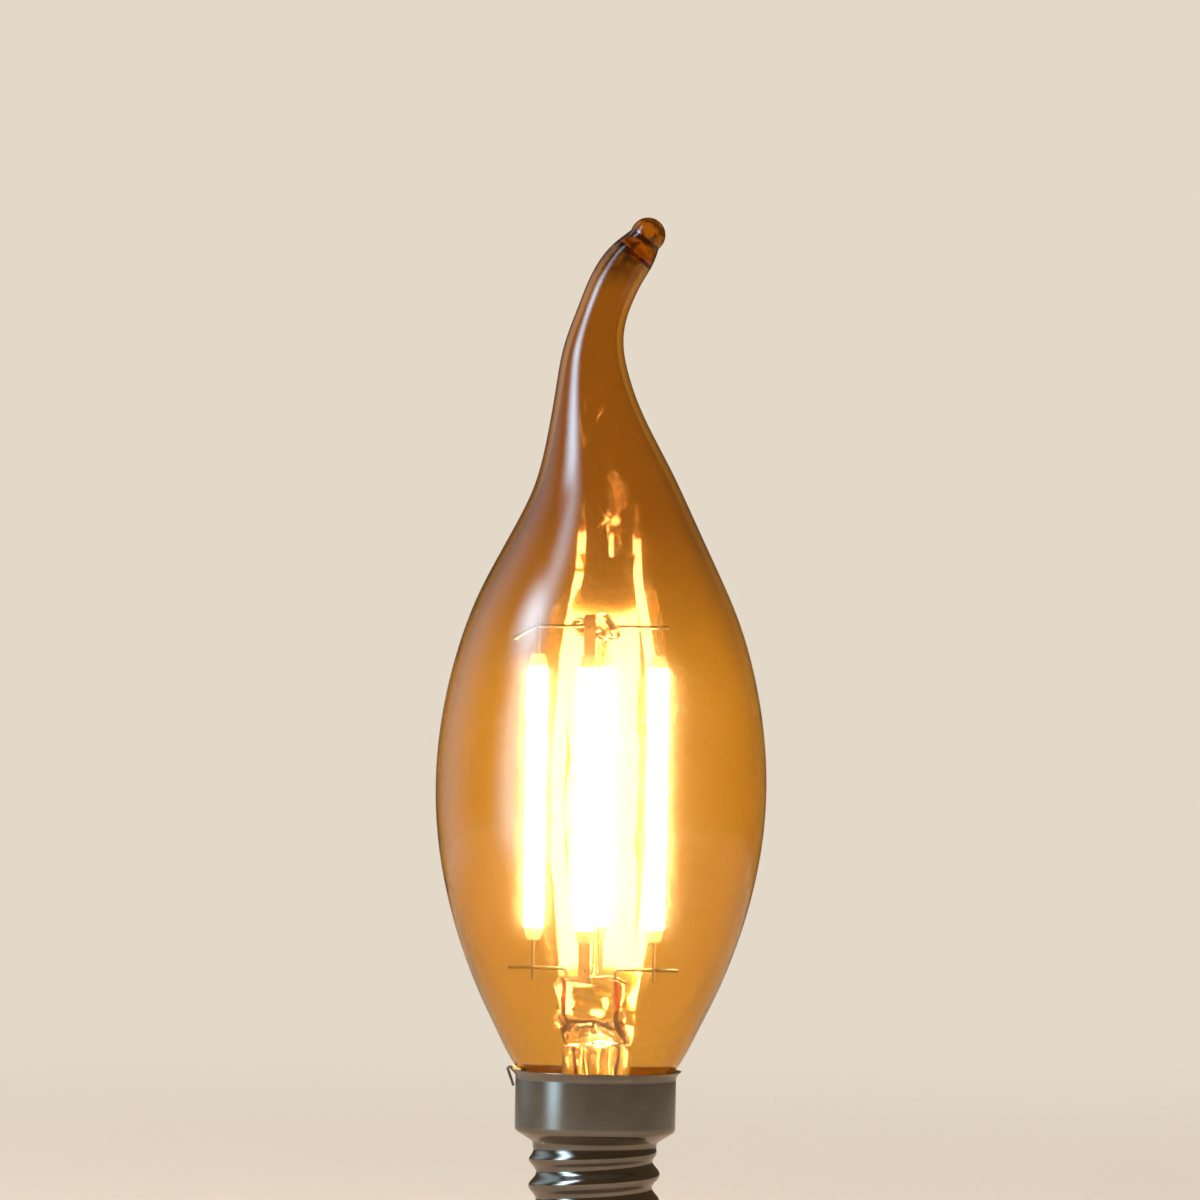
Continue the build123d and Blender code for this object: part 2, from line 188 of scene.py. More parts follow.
def tube(path: np.ndarray, radius: float, across: tuple[float, float, float], around: int = 14) -> Surface:
    """A circle carried square to a path; its axes are the path's cross products with one direction.

    Args:
        path: points along the wire.
        radius: the wire's radius.
        across: a direction that the path never follows.
        around: points in the circle.

    Returns:
        The wire, closed at both ends.
    """
    along = unit(np.gradient(path, axis=0))
    side = unit(np.cross(along, across))
    up = np.cross(side, along)
    angle = np.linspace(0, TURN, around, endpoint=False)[:, None]
    circle = np.cos(angle) * side[:, None] + np.sin(angle) * up[:, None]
    return skin(path[:, None] + radius * circle, path[0], path[-1])


def smooth_step(low: float, high: float, at: np.ndarray) -> np.ndarray:
    """Rises from 0 at low to 1 at high, level at both ends."""
    t = np.clip((at - low) / (high - low), 0, 1)
    return t * t * (3 - 2 * t)


@dataclass(frozen=True)
class Wave:
    """A low ripple: its depth times the sine of so many turns round, so much climb and a phase."""

    depth: float
    turns: float
    climb: float = 0.0
    phase: float = 0.0

    def at(self, angle: np.ndarray, height: np.ndarray | float = 0.0) -> np.ndarray:
        """The ripple at angles and heights."""
        return self.depth * np.sin(self.climb * height + self.turns * angle + self.phase)


# Finishes: each starts from the real material, and its pattern's sizes are in millimetres


def linear(code: str) -> tuple[float, float, float, float]:
    """Linear colour from an sRGB hex value."""
    parts = [int(code[i:i + 2], 16) / 255 for i in (1, 3, 5)]
    return (*[v / 12.92 if v <= 0.04045 else ((v + 0.055) / 1.055) ** 2.4 for v in parts], 1.0)


def add_node(tree: Tree, kind: str, inputs: dict | None = None, **settings: object) -> bpy.types.Node:
    """A node with its settings, and its inputs linked to sockets or set to values.

    Args:
        tree: the node tree.
        kind: Blender's name for the node.
        inputs: input name or number to a socket or a value.
        settings: the node's own properties.

    Returns:
        The node.
    """
    node = tree.nodes.new(kind)
    for name, value in settings.items():
        setattr(node, name, value)
    for key, value in (inputs or {}).items():
        if isinstance(value, Socket):
            tree.links.new(value, node.inputs[key])
        else:
            node.inputs[key].default_value = value
    return node


def per_mm(size: float) -> float:
    """Noise scale, in waves a metre, for features of a size in millimetres."""
    return 1 / (size * MM)


@dataclass(frozen=True)
class Finish:
    """A material with its name and a slot name."""

    name: str
    slot: str

    def material(self) -> bpy.types.Material:
        """The material, made once."""
        found = bpy.data.materials.get(self.name)
        if found is None:
            found = bpy.data.materials.new(self.name)
            found.use_nodes = True
            tree = found.node_tree
            tree.nodes.clear()
            add_node(tree, "ShaderNodeOutputMaterial", {"Surface": self.shader(tree), **self.inside(tree)})
        return found

    def shader(self, tree: Tree) -> Socket:
        """The finish's own shader."""
        raise NotImplementedError

    def inside(self, tree: Tree) -> dict[str, Socket]:
        """What fills the body, as the output's extra inputs: nothing, for most finishes."""
        return {}


@dataclass(frozen=True)
class LampGlass(Finish):
    """Soda-lime glass: sharp reflections, a slow ripple from the melt, and a tint that deepens upwards."""

    light: str
    deep: str
    deep_from: float
    deep_to: float
    patchiness: float
    passing: str
    body: str
    density: float
    ripple: float
    ripple_depth: float
    roughness: float
    ior: float

    def shader(self, tree: Tree) -> Socket:
        """Tinted glass for the eye, and a plain tinted window for rays from the lamps."""
        place = add_node(tree, "ShaderNodeTexCoord").outputs["Object"]
        wave = add_node(tree, "ShaderNodeTexNoise", {
            "Vector": place, "Scale": per_mm(self.ripple), "Detail": 1.0}).outputs["Fac"]
        bump = add_node(tree, "ShaderNodeBump", {
            "Strength": 1.0, "Distance": self.ripple_depth * MM, "Height": wave})
        height = add_node(tree, "ShaderNodeSeparateXYZ", {"Vector": place}).outputs["Z"]
        rise = add_node(tree, "ShaderNodeMapRange", {
            "Value": height, "From Min": self.deep_from * MM, "From Max": self.deep_to * MM},
            interpolation_type="SMOOTHSTEP").outputs["Result"]
        patchy = add_node(tree, "ShaderNodeMath", {0: wave, 1: self.patchiness, 2: rise},
                          operation="MULTIPLY_ADD", use_clamp=True).outputs[0]
        tint = add_node(tree, "ShaderNodeMix", {
            0: patchy, 6: linear(self.light), 7: linear(self.deep)}, data_type="RGBA").outputs[2]
        glass = add_node(tree, "ShaderNodeBsdfPrincipled", {
            "Base Color": self.colour(tree, place, rise, tint), "Roughness": self.polish(tree, place),
            "IOR": self.ior, "Transmission Weight": 1.0, "Normal": bump.outputs[0]})
        window = add_node(tree, "ShaderNodeBsdfTransparent", {"Color": linear(self.passing)})
        lamp_ray = add_node(tree, "ShaderNodeLightPath").outputs["Is Shadow Ray"]
        return add_node(tree, "ShaderNodeMixShader", {
            0: lamp_ray, 1: glass.outputs[0], 2: window.outputs[0]}).outputs[0]

    def colour(self, tree: Tree, place: Socket, rise: Socket, tint: Socket) -> Socket:
        """The colour of one wall: the tint as it is."""
        return tint

    def polish(self, tree: Tree, place: Socket) -> Socket | float:
        """The roughness: even all over."""
        return self.roughness

    def inside(self, tree: Tree) -> dict[str, Socket]:
        """Absorption by depth, which darkens edges and solid lumps as in a real melt."""
        return {"Volume": add_node(tree, "ShaderNodeVolumeAbsorption", {
            "Color": linear(self.body), "Density": self.density}).outputs[0]}


@dataclass(frozen=True)
class TippedGlass(LampGlass):
    """Blown lamp glass: a solid tip with painted shade and painted glints, painted edge shade, and a dust
    that hazes what shines through.
    """

    # ball and painted_glint: painted shade and painted glints in the solid tip, for the dim surround seen
    # through it
    ball: str
    painted_glint: str
    ball_from: float
    ball_to: float
    swirl: float
    swirl_twist: float
    glint_from: float
    glint_to: float
    # rim: colour of the painted edge shade, multiplied into the wall where it turns from the eye, most in
    # the tail
    rim: str
    edge_shade_least: float
    edge_shade_from: float
    edge_shade_to: float
    dust: float
    dust_from: float
    dust_to: float
    dust_blur: float

    def colour(self, tree: Tree, place: Socket, rise: Socket, tint: Socket) -> Socket:
        """The tint, painted dark with painted glints in the tip, and with painted edge shade where the wall
        turns away, most of all in the tail.

        Args:
            tree: the material's node tree.
            place: Object coordinates.
            rise: 0 in the bowl, 1 in the tail.
            tint: the colour of a plain wall.

        Returns:
            The colour of one wall.
        """
        height = add_node(tree, "ShaderNodeSeparateXYZ", {"Vector": place}).outputs["Z"]
        tip = add_node(tree, "ShaderNodeMapRange", {
            "Value": height, "From Min": self.ball_from * MM, "From Max": self.ball_to * MM},
            interpolation_type="SMOOTHSTEP").outputs["Result"]
        swirl = add_node(tree, "ShaderNodeTexNoise", {
            "Vector": place, "Scale": per_mm(self.swirl), "Detail": 1.0,
            "Distortion": self.swirl_twist}).outputs["Fac"]
        glint = add_node(tree, "ShaderNodeMapRange", {
            "Value": swirl, "From Min": self.glint_from, "From Max": self.glint_to}).outputs["Result"]
        # Painted shade and painted glints: above ball_from the tint turns dark brown, with orange glints
        # where the swirl noise is high
        gob = add_node(tree, "ShaderNodeMix", {
            0: glint, 6: linear(self.ball), 7: linear(self.painted_glint)}, data_type="RGBA").outputs[2]
        melt = add_node(tree, "ShaderNodeMix", {0: tip, 6: tint, 7: gob}, data_type="RGBA").outputs[2]
        # Painted edge shade: the wall is multiplied towards a darker grey as it turns from the eye, most in
        # the tail
        slant = add_node(tree, "ShaderNodeLayerWeight", {"Blend": 0.5}).outputs["Facing"]
        most = add_node(tree, "ShaderNodeMath", {0: rise, 1: 1 - self.edge_shade_least, 2: self.edge_shade_least},
                        operation="MULTIPLY_ADD").outputs[0]
        painted_edge_shade = add_node(tree, "ShaderNodeMapRange", {
            "Value": slant, "From Min": self.edge_shade_from, "From Max": self.edge_shade_to, "To Max": most},
            interpolation_type="SMOOTHSTEP").outputs["Result"]
        return add_node(tree, "ShaderNodeMix", {
            0: painted_edge_shade, 6: melt, 7: linear(self.rim)}, data_type="RGBA", blend_type="MULTIPLY").outputs[2]

    def polish(self, tree: Tree, place: Socket) -> Socket | float:
        """The roughness: smooth glass with specks of dust, whose blur spreads the glare of the bars.

        Args:
            tree: the material's node tree.
            place: Object coordinates.

        Returns:
            The roughness.
        """
        specks = add_node(tree, "ShaderNodeTexNoise", {
            "Vector": place, "Scale": per_mm(self.dust), "Detail": 0.0}).outputs["Fac"]
        return add_node(tree, "ShaderNodeMapRange", {
            "Value": specks, "From Min": self.dust_from, "From Max": self.dust_to,
            "To Min": self.roughness, "To Max": self.dust_blur}).outputs["Result"]


@dataclass(frozen=True)
class Phosphor(Finish):
    """Phosphor in silicone: yellow and grainy when cold, an even white when lit."""

    pale: str
    deep: str
    glow: str
    strength: float
    ends: float
    grain: float
    grain_depth: float
    roughness: float
    middle: float
    lit_half: float
    fade: float

    def shader(self, tree: Tree) -> Socket:
        """Grainy yellow rubber that gives off light, but for its ends, which hold no chips."""
        place = add_node(tree, "ShaderNodeTexCoord").outputs["Object"]
        height = add_node(tree, "ShaderNodeSeparateXYZ", {"Vector": place}).outputs["Z"]
        above = add_node(tree, "ShaderNodeMath", {0: height, 1: self.middle * MM}, operation="SUBTRACT")
        away = add_node(tree, "ShaderNodeMath", {0: above.outputs[0]}, operation="ABSOLUTE").outputs[0]
        lit = add_node(tree, "ShaderNodeMapRange", {
            "Value": away, "From Min": self.lit_half * MM, "From Max": (self.lit_half + self.fade) * MM,
            "To Min": self.strength, "To Max": self.ends},
            interpolation_type="SMOOTHSTEP").outputs["Result"]
        grain = add_node(tree, "ShaderNodeTexNoise", {
            "Vector": place, "Scale": per_mm(self.grain), "Detail": 2.0}).outputs["Fac"]
        colour = add_node(tree, "ShaderNodeMix", {
            0: grain, 6: linear(self.pale), 7: linear(self.deep)}, data_type="RGBA").outputs[2]
        bump = add_node(tree, "ShaderNodeBump", {
            "Strength": 0.5, "Distance": self.grain_depth * MM, "Height": grain})
        return add_node(tree, "ShaderNodeBsdfPrincipled", {
            "Base Color": colour, "Roughness": self.roughness, "Normal": bump.outputs[0],
            "Emission Color": linear(self.glow), "Emission Strength": lit}).outputs[0]


class Working(Enum):
    """How a surface was worked, as the stretch of its noise along X, Y and Z."""

    PLAIN = (1.0, 1.0, 1.0)
    ROUND_THE_AXIS = (0.12, 0.12, 1.0)
    UPRIGHT = (1.0, 1.0, 0.12)


# Roughness of a metal's bright and dull patches, as shares of the one written for it
BRIGHT_SHARE = 0.7
DULL_SHARE = 1.4


@dataclass(frozen=True)
class Metal(Finish):
    """Bare or plated metal: bright and dull patches, and fine lines left by its working."""

    bright: str
    dull: str
    roughness: float
    patch: float
    line: float
    line_depth: float
    working: Working

    def shader(self, tree: Tree) -> Socket:
        """Metal whose colour and roughness follow large patches, with fine worked lines."""
        place = add_node(tree, "ShaderNodeTexCoord").outputs["Object"]
        stretched = add_node(tree, "ShaderNodeMapping", {
            "Vector": place, "Scale": self.working.value}).outputs["Vector"]
        patches = add_node(tree, "ShaderNodeTexNoise", {
            "Vector": place, "Scale": per_mm(self.patch), "Detail": 4.0}).outputs["Fac"]
        lines = add_node(tree, "ShaderNodeTexNoise", {
            "Vector": stretched, "Scale": per_mm(self.line), "Detail": 3.0}).outputs["Fac"]
        colour = add_node(tree, "ShaderNodeMix", {
            0: patches, 6: linear(self.bright), 7: linear(self.dull)}, data_type="RGBA").outputs[2]
        rough = add_node(tree, "ShaderNodeMapRange", {
            "Value": patches, "To Min": self.roughness * BRIGHT_SHARE,
            "To Max": self.roughness * DULL_SHARE}).outputs[0]
        bump = add_node(tree, "ShaderNodeBump", {
            "Strength": 0.6, "Distance": self.line_depth * MM, "Height": lines})
        return add_node(tree, "ShaderNodeBsdfPrincipled", {
            "Base Color": colour, "Metallic": 1.0, "Roughness": rough,
            "Normal": bump.outputs[0]}).outputs[0]


@dataclass(frozen=True)
class Moulded(Finish):
    """Moulded, cast or coated body: two close colours in patches, and a fine grit."""

    first: str
    second: str
    roughness: float
    patch: float
    grit: float
    grit_depth: float

    def shader(self, tree: Tree) -> Socket:
        """Plain body whose colour and grit come from noise at two sizes."""
        place = add_node(tree, "ShaderNodeTexCoord").outputs["Object"]
        patches = add_node(tree, "ShaderNodeTexNoise", {
            "Vector": place, "Scale": per_mm(self.patch), "Detail": 3.0}).outputs["Fac"]
        grit = add_node(tree, "ShaderNodeTexNoise", {
            "Vector": place, "Scale": per_mm(self.grit), "Detail": 4.0}).outputs["Fac"]
        colour = add_node(tree, "ShaderNodeMix", {
            0: patches, 6: linear(self.first), 7: linear(self.second)}, data_type="RGBA").outputs[2]
        bump = add_node(tree, "ShaderNodeBump", {
            "Strength": 0.7, "Distance": self.grit_depth * MM, "Height": grit})
        return add_node(tree, "ShaderNodeBsdfPrincipled", {
            "Base Color": colour, "Roughness": self.roughness,
            "Normal": bump.outputs[0]}).outputs[0]


# Amber lacquered glass: warm and clear, deeper where the tail was drawn out. Painted edge shade greys the
# wall
#  where it turns from the eye, most in the tail, and the solid ball is painted dark with painted orange
#  glints for the dim surround seen through it. Its dust is finer than the render can show, and is seen only
#  as a haze of glare
AMBER_GLASS = TippedGlass(
    "amber_blown_glass", "amber_glass", light="#FFEAAF", deep="#D4B278", deep_from=62.0, deep_to=88.0,
    patchiness=0.15, passing="#DCC696", body="#F3D81E", density=1300.0, ripple=6.5, ripple_depth=0.045,
    roughness=0.03, ior=1.54, ball="#4A3626", painted_glint="#E8C890", ball_from=107.0, ball_to=113.0,
    swirl=1.6, swirl_twist=1.2, glint_from=0.45, glint_to=0.65, rim="#9C9086", edge_shade_least=0.3,
    edge_shade_from=0.4, edge_shade_to=0.9, dust=0.025, dust_from=0.69, dust_to=0.74, dust_blur=0.3)
# Drawn and pressed lamp glass: nearly white, with melted waves a few millimetres long
STEM_GLASS = LampGlass(
    "pressed_lamp_glass", "clear_glass", light="#F7F4EC", deep="#F1EEE2", deep_from=20.0, deep_to=75.0,
    patchiness=0.15, passing="#FBFAF6", body="#E8F0E4", density=20.0, ripple=2.2, ripple_depth=0.05,
    roughness=0.01, ior=1.52)
# Phosphor coat over the chips: so bright when lit that only its edges keep a colour
LIT_PHOSPHOR = Phosphor(
    "lit_phosphor_silicone", "phosphor", pale="#FFD98A", deep="#F4B24C", glow="#F1E4FF", strength=95.0,
    ends=1.2, grain=0.25, grain_depth=0.02, roughness=0.55, middle=53.82, lit_half=13.0, fade=0.9)
# Stamped plated steel: grey, satin, brown where the weld heated it
TERMINAL_STEEL = Metal("stamped_plated_steel", "terminal_metal", bright="#C9C1B4", dull="#8B7F70",
                       roughness=0.38, patch=1.6, line=0.12, line_depth=0.01, working=Working.UPRIGHT)
# Drawn nickel wire: grey and satin
NICKEL_WIRE = Metal("drawn_nickel_wire", "nickel_wire", bright="#B9B2A6", dull="#857868",
                    roughness=0.3, patch=1.2, line=0.1, line_depth=0.008, working=Working.PLAIN)
# Copper-clad seal wire: brick red where the oxide melts into the glass
SEAL_COPPER = Metal("copper_clad_seal_wire", "seal_copper", bright="#C8573A", dull="#8E3323",
                    roughness=0.4, patch=0.8, line=0.1, line_depth=0.008, working=Working.PLAIN)
# Copper lead: darkened purple-brown by the stem burner
LEAD_COPPER = Metal("heat_darkened_copper_lead", "lead_copper", bright="#8A5A4A", dull="#4A3140",
                    roughness=0.42, patch=1.5, line=0.12, line_depth=0.008, working=Working.PLAIN)
# Bright nickel on drawn brass: warm grey mirror with faint lines round the axis
NICKEL_PLATE = Metal("bright_nickel_on_drawn_brass", "nickel_plate", bright="#ADA9A2", dull="#7C7469",
                     roughness=0.14, patch=5.0, line=0.18, line_depth=0.0015,
                     working=Working.ROUND_THE_AXIS)
# Tinned contact: soft grey metal with solder marks
TINNED_CONTACT = Metal("tinned_contact", "tinned_contact", bright="#C6C3BC", dull="#97928A",
                       roughness=0.34, patch=1.4, line=0.5, line_depth=0.03, working=Working.PLAIN)
# Black insulating glass: smooth and deep black, with a soft gloss
BLACK_INSULATOR = Moulded("black_insulating_glass", "black_insulator", first="#17161A", second="#26222A",
                          roughness=0.18, patch=2.5, grit=0.9, grit_depth=0.01)
# Basing cement: baked resin and stone powder, yellowish and grainy
BAKED_CEMENT = Moulded("baked_basing_cement", "basing_cement", first="#E0C98C", second="#B99A58",
                       roughness=0.6, patch=0.9, grit=0.2, grit_depth=0.03)
# Board laminate: green solder mask over glass cloth
BOARD_LAMINATE = Moulded("green_board_laminate", "board_laminate", first="#1E5A36", second="#17482B",
                         roughness=0.4, patch=2.0, grit=0.3, grit_depth=0.01)
# Moulded package: black epoxy with a fine matte grit
BLACK_PACKAGE = Moulded("black_epoxy_package", "component_black", first="#1C1C1E", second="#28282A",
                        roughness=0.6, patch=1.5, grit=0.15, grit_depth=0.01)
# Drawn can: satin aluminium with the upright lines of its drawing
DRAWN_CAN = Metal("drawn_aluminium_can", "capacitor_can", bright="#D4D4D2", dull="#B4B4B2",
                  roughness=0.3, patch=2.0, line=0.15, line_depth=0.006, working=Working.UPRIGHT)
# Fireproof coat: grey-green lacquer, matte and slightly lumpy
RESISTOR_COAT = Moulded("fireproof_resistor_coat", "resistor_coat", first="#7F948A", second="#66786F",
                        roughness=0.55, patch=1.0, grit=0.3, grit_depth=0.02)


def add_piece(name: str, surface: Surface, finish: Finish, *nodes: str) -> bpy.types.Object:
    """A smooth mesh at the origin that stands for CAD nodes.

    Args:
        name: the piece's name.
        surface: its shape, in millimetres.
        finish: its material.
        nodes: the CAD nodes that it stands for.

    Returns:
        The object, riding on the bulb's one body.
    """
    mesh = bpy.data.meshes.new(name)
    mesh.from_pydata((surface.points * MM).tolist(), [], surface.faces)
    mesh.polygons.foreach_set("use_smooth", np.ones(len(mesh.polygons), bool))
    mesh.materials.append(finish.material())
    piece = bpy.data.objects.new(name, mesh)
    bpy.context.scene.collection.objects.link(piece)
    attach(piece, "root")
    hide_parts(*nodes)
    LOG.info("%s: %d faces, for %s", name, len(mesh.polygons), ", ".join(nodes))
    return piece


def dress_node(name: str, finish: Finish) -> None:
    """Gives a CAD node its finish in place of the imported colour."""
    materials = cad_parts[name].data.materials
    materials.clear()
    materials.append(finish.material())
    LOG.info("%s: CAD solid in %s", name, finish.name)


# The bulb's sub-assemblies, in millimetres


@dataclass
class Envelope:
    """Blown glass: neck, bowl, bent tail and ball tip in one wall."""

    neck_foot: float = 19.617
    throat_foot: float = 22.017
    throat_top: float = RIM_FOOT
    rim: float = CAP_RIM
    neck_radius: float = 7.35
    throat_radius: float = 7.88
    rim_radius: float = 8.3
    belly_height: float = 29.8
    belly_radius: float = 17.5
    bowl_power: float = 1.95
    bowl_steps: int = 7
    flame_height: float = 58.1
    tip_shift: float = 3.55
    wall: float = 0.7
    edge_rings: int = 9
    gob_radius: float = 1.9
    gob_depth: float = 0.6
    gob_bite: float = 0.35
    gob_rings: int = 12
    ball_radius: float = 1.85
    ball_stand: float = 0.65
    ball_gap: float = 0.06
    ball_rings: int = 22
    pole_gap: float = 0.05
    step: float = 0.32
    tick: float = 0.05
    around: int = 112

    def stations(self) -> np.ndarray:
        """Sideways shift, height and radius at each section: bowl by a power law, then the flame."""
        share = 1 - np.arange(self.bowl_steps + 1) / self.bowl_steps
        bowl = np.stack([
            np.zeros_like(share), self.rim + self.belly_height * (1 - share),
            self.belly_radius - (self.belly_radius - self.rim_radius) * share**self.bowl_power], axis=-1)
        # Shares of the flame's height, of the tip's shift and of the belly's radius
        shares = np.array([
            (0.1136, 0.0, 0.975), (0.2238, 0.0, 0.904), (0.3339, 0.0, 0.783), (0.4406, 0.005, 0.613),
            (0.5439, -0.066, 0.4475), (0.6437, -0.278, 0.315), (0.7298, -0.434, 0.2310),
            (0.7952, -0.450, 0.186), (0.8571, -0.258, 0.1535), (0.9088, 0.040, 0.1485),
            (0.9501, 0.402, 0.1435), (0.9776, 0.746, 0.1286), (1.0, 1.0, 0.1029)])
        flame = np.stack([
            self.tip_shift * shares[:, 1], bowl[-1, 1] + self.flame_height * shares[:, 0],
            self.belly_radius * shares[:, 2]], axis=-1)
        neck = np.array([(0, self.throat_foot, self.neck_radius), (0, self.throat_top, self.throat_radius)])
        return np.vstack([neck, bowl, flame])

    def profile(self, run: np.ndarray, radius: np.ndarray) -> tuple[np.ndarray, np.ndarray]:
        """The wall's section, from the gob down the inside, round the foot and up the outside to the ball.

        Gob and ball are arcs of circles, and the inside is the outside less the wall.

        Args:
            run: lengths along the centre line.
            radius: the outside's radius at each of them.

        Returns:
            Rows of length and radius, and the lengths at the first and last pole.
        """
        end = run[-1]
        gob_place = end - self.gob_depth
        turn_in = math.asin((radius[-1] - self.wall + self.gob_bite) / self.gob_radius)
        arc = turn_in * np.linspace(self.pole_gap, 1, self.gob_rings)
        gob = np.stack([gob_place - self.gob_radius * np.cos(arc), self.gob_radius * np.sin(arc)], axis=-1)
        hollow = run < gob[-1, 0] - self.step
        inside = np.stack([run[hollow], radius[hollow] - self.wall], axis=-1)[::-1]
        foot = self.neck_foot - self.throat_foot
        half = self.wall / 2
        fold = np.linspace(0, math.pi, self.edge_rings)
        edge = np.stack([foot - half * np.sin(fold), self.neck_radius - half - half * np.cos(fold)], axis=-1)
        neck_in = np.array([[foot / 2, self.neck_radius - self.wall]])
        neck_out = np.array([[foot / 2, self.neck_radius]])
        outside = np.stack([run, radius], axis=-1)[:-2]
        ball_place = end + self.ball_stand
        ball_foot = math.acos(self.ball_stand / self.ball_radius)
        sweep = np.linspace(ball_foot + self.ball_gap, math.pi - self.pole_gap, self.ball_rings)
        ball = np.stack([ball_place - self.ball_radius * np.cos(sweep),
                         self.ball_radius * np.sin(sweep)], axis=-1)
        poles = np.array([gob_place - self.gob_radius, ball_place + self.ball_radius])
        return np.vstack([gob, inside, neck_in, edge, neck_out, outside, ball]), poles

    def carried(self, knots: np.ndarray, path: np.ndarray,
                place: np.ndarray) -> tuple[np.ndarray, np.ndarray]:
        """The centre line, a spline through the sections that runs on straight past its ends.

        Args:
            knots: length at each section.
            path: sideways shift and height of each section.
            place: lengths to read.

        Returns:
            Centres and unit tangents in X and Z, a row for each length.
        """
        held = np.clip(place, 0, knots[-1])
        along = unit(spline(knots, path, held + self.tick) - spline(knots, path, held - self.tick))
        return spline(knots, path, held) + (place - held)[:, None] * along, along

    def surface(self) -> Surface:
        """One closed wall about the bent centre line.

        Each profile point is a length along the centre line and a radius across it; the ring there is
        the centre plus radius times (cosine of the angle across the bend, sine along Y).
        """
        stations = self.stations()
        path = stations[:, :2]
        knots = np.concatenate([[0], np.cumsum(np.linalg.norm(np.diff(path, axis=0), axis=1))])
        run = np.linspace(0, knots[-1], int(knots[-1] / self.step))
        profile, poles = self.profile(run, spline(knots, stations, run)[:, 2])
        centre, along = self.carried(knots, path, profile[:, 0])
        across = np.stack([along[:, 1], np.zeros(len(along)), -along[:, 0]], axis=-1)
        angle = np.linspace(0, TURN, self.around, endpoint=False)[:, None]
        rings = np.insert(centre, 1, 0, axis=1)[:, None] + profile[:, 1, None, None] * (
            np.cos(angle) * across[:, None] + np.sin(angle) * np.array([0, 1, 0]))
        tips = np.insert(self.carried(knots, path, poles)[0], 1, 0, axis=1)
        return skin(rings, tips[0], tips[1])

    def build(self) -> None:
        """Makes the envelope."""
        add_piece("blown_envelope", self.surface(), AMBER_GLASS, "glass_envelope")


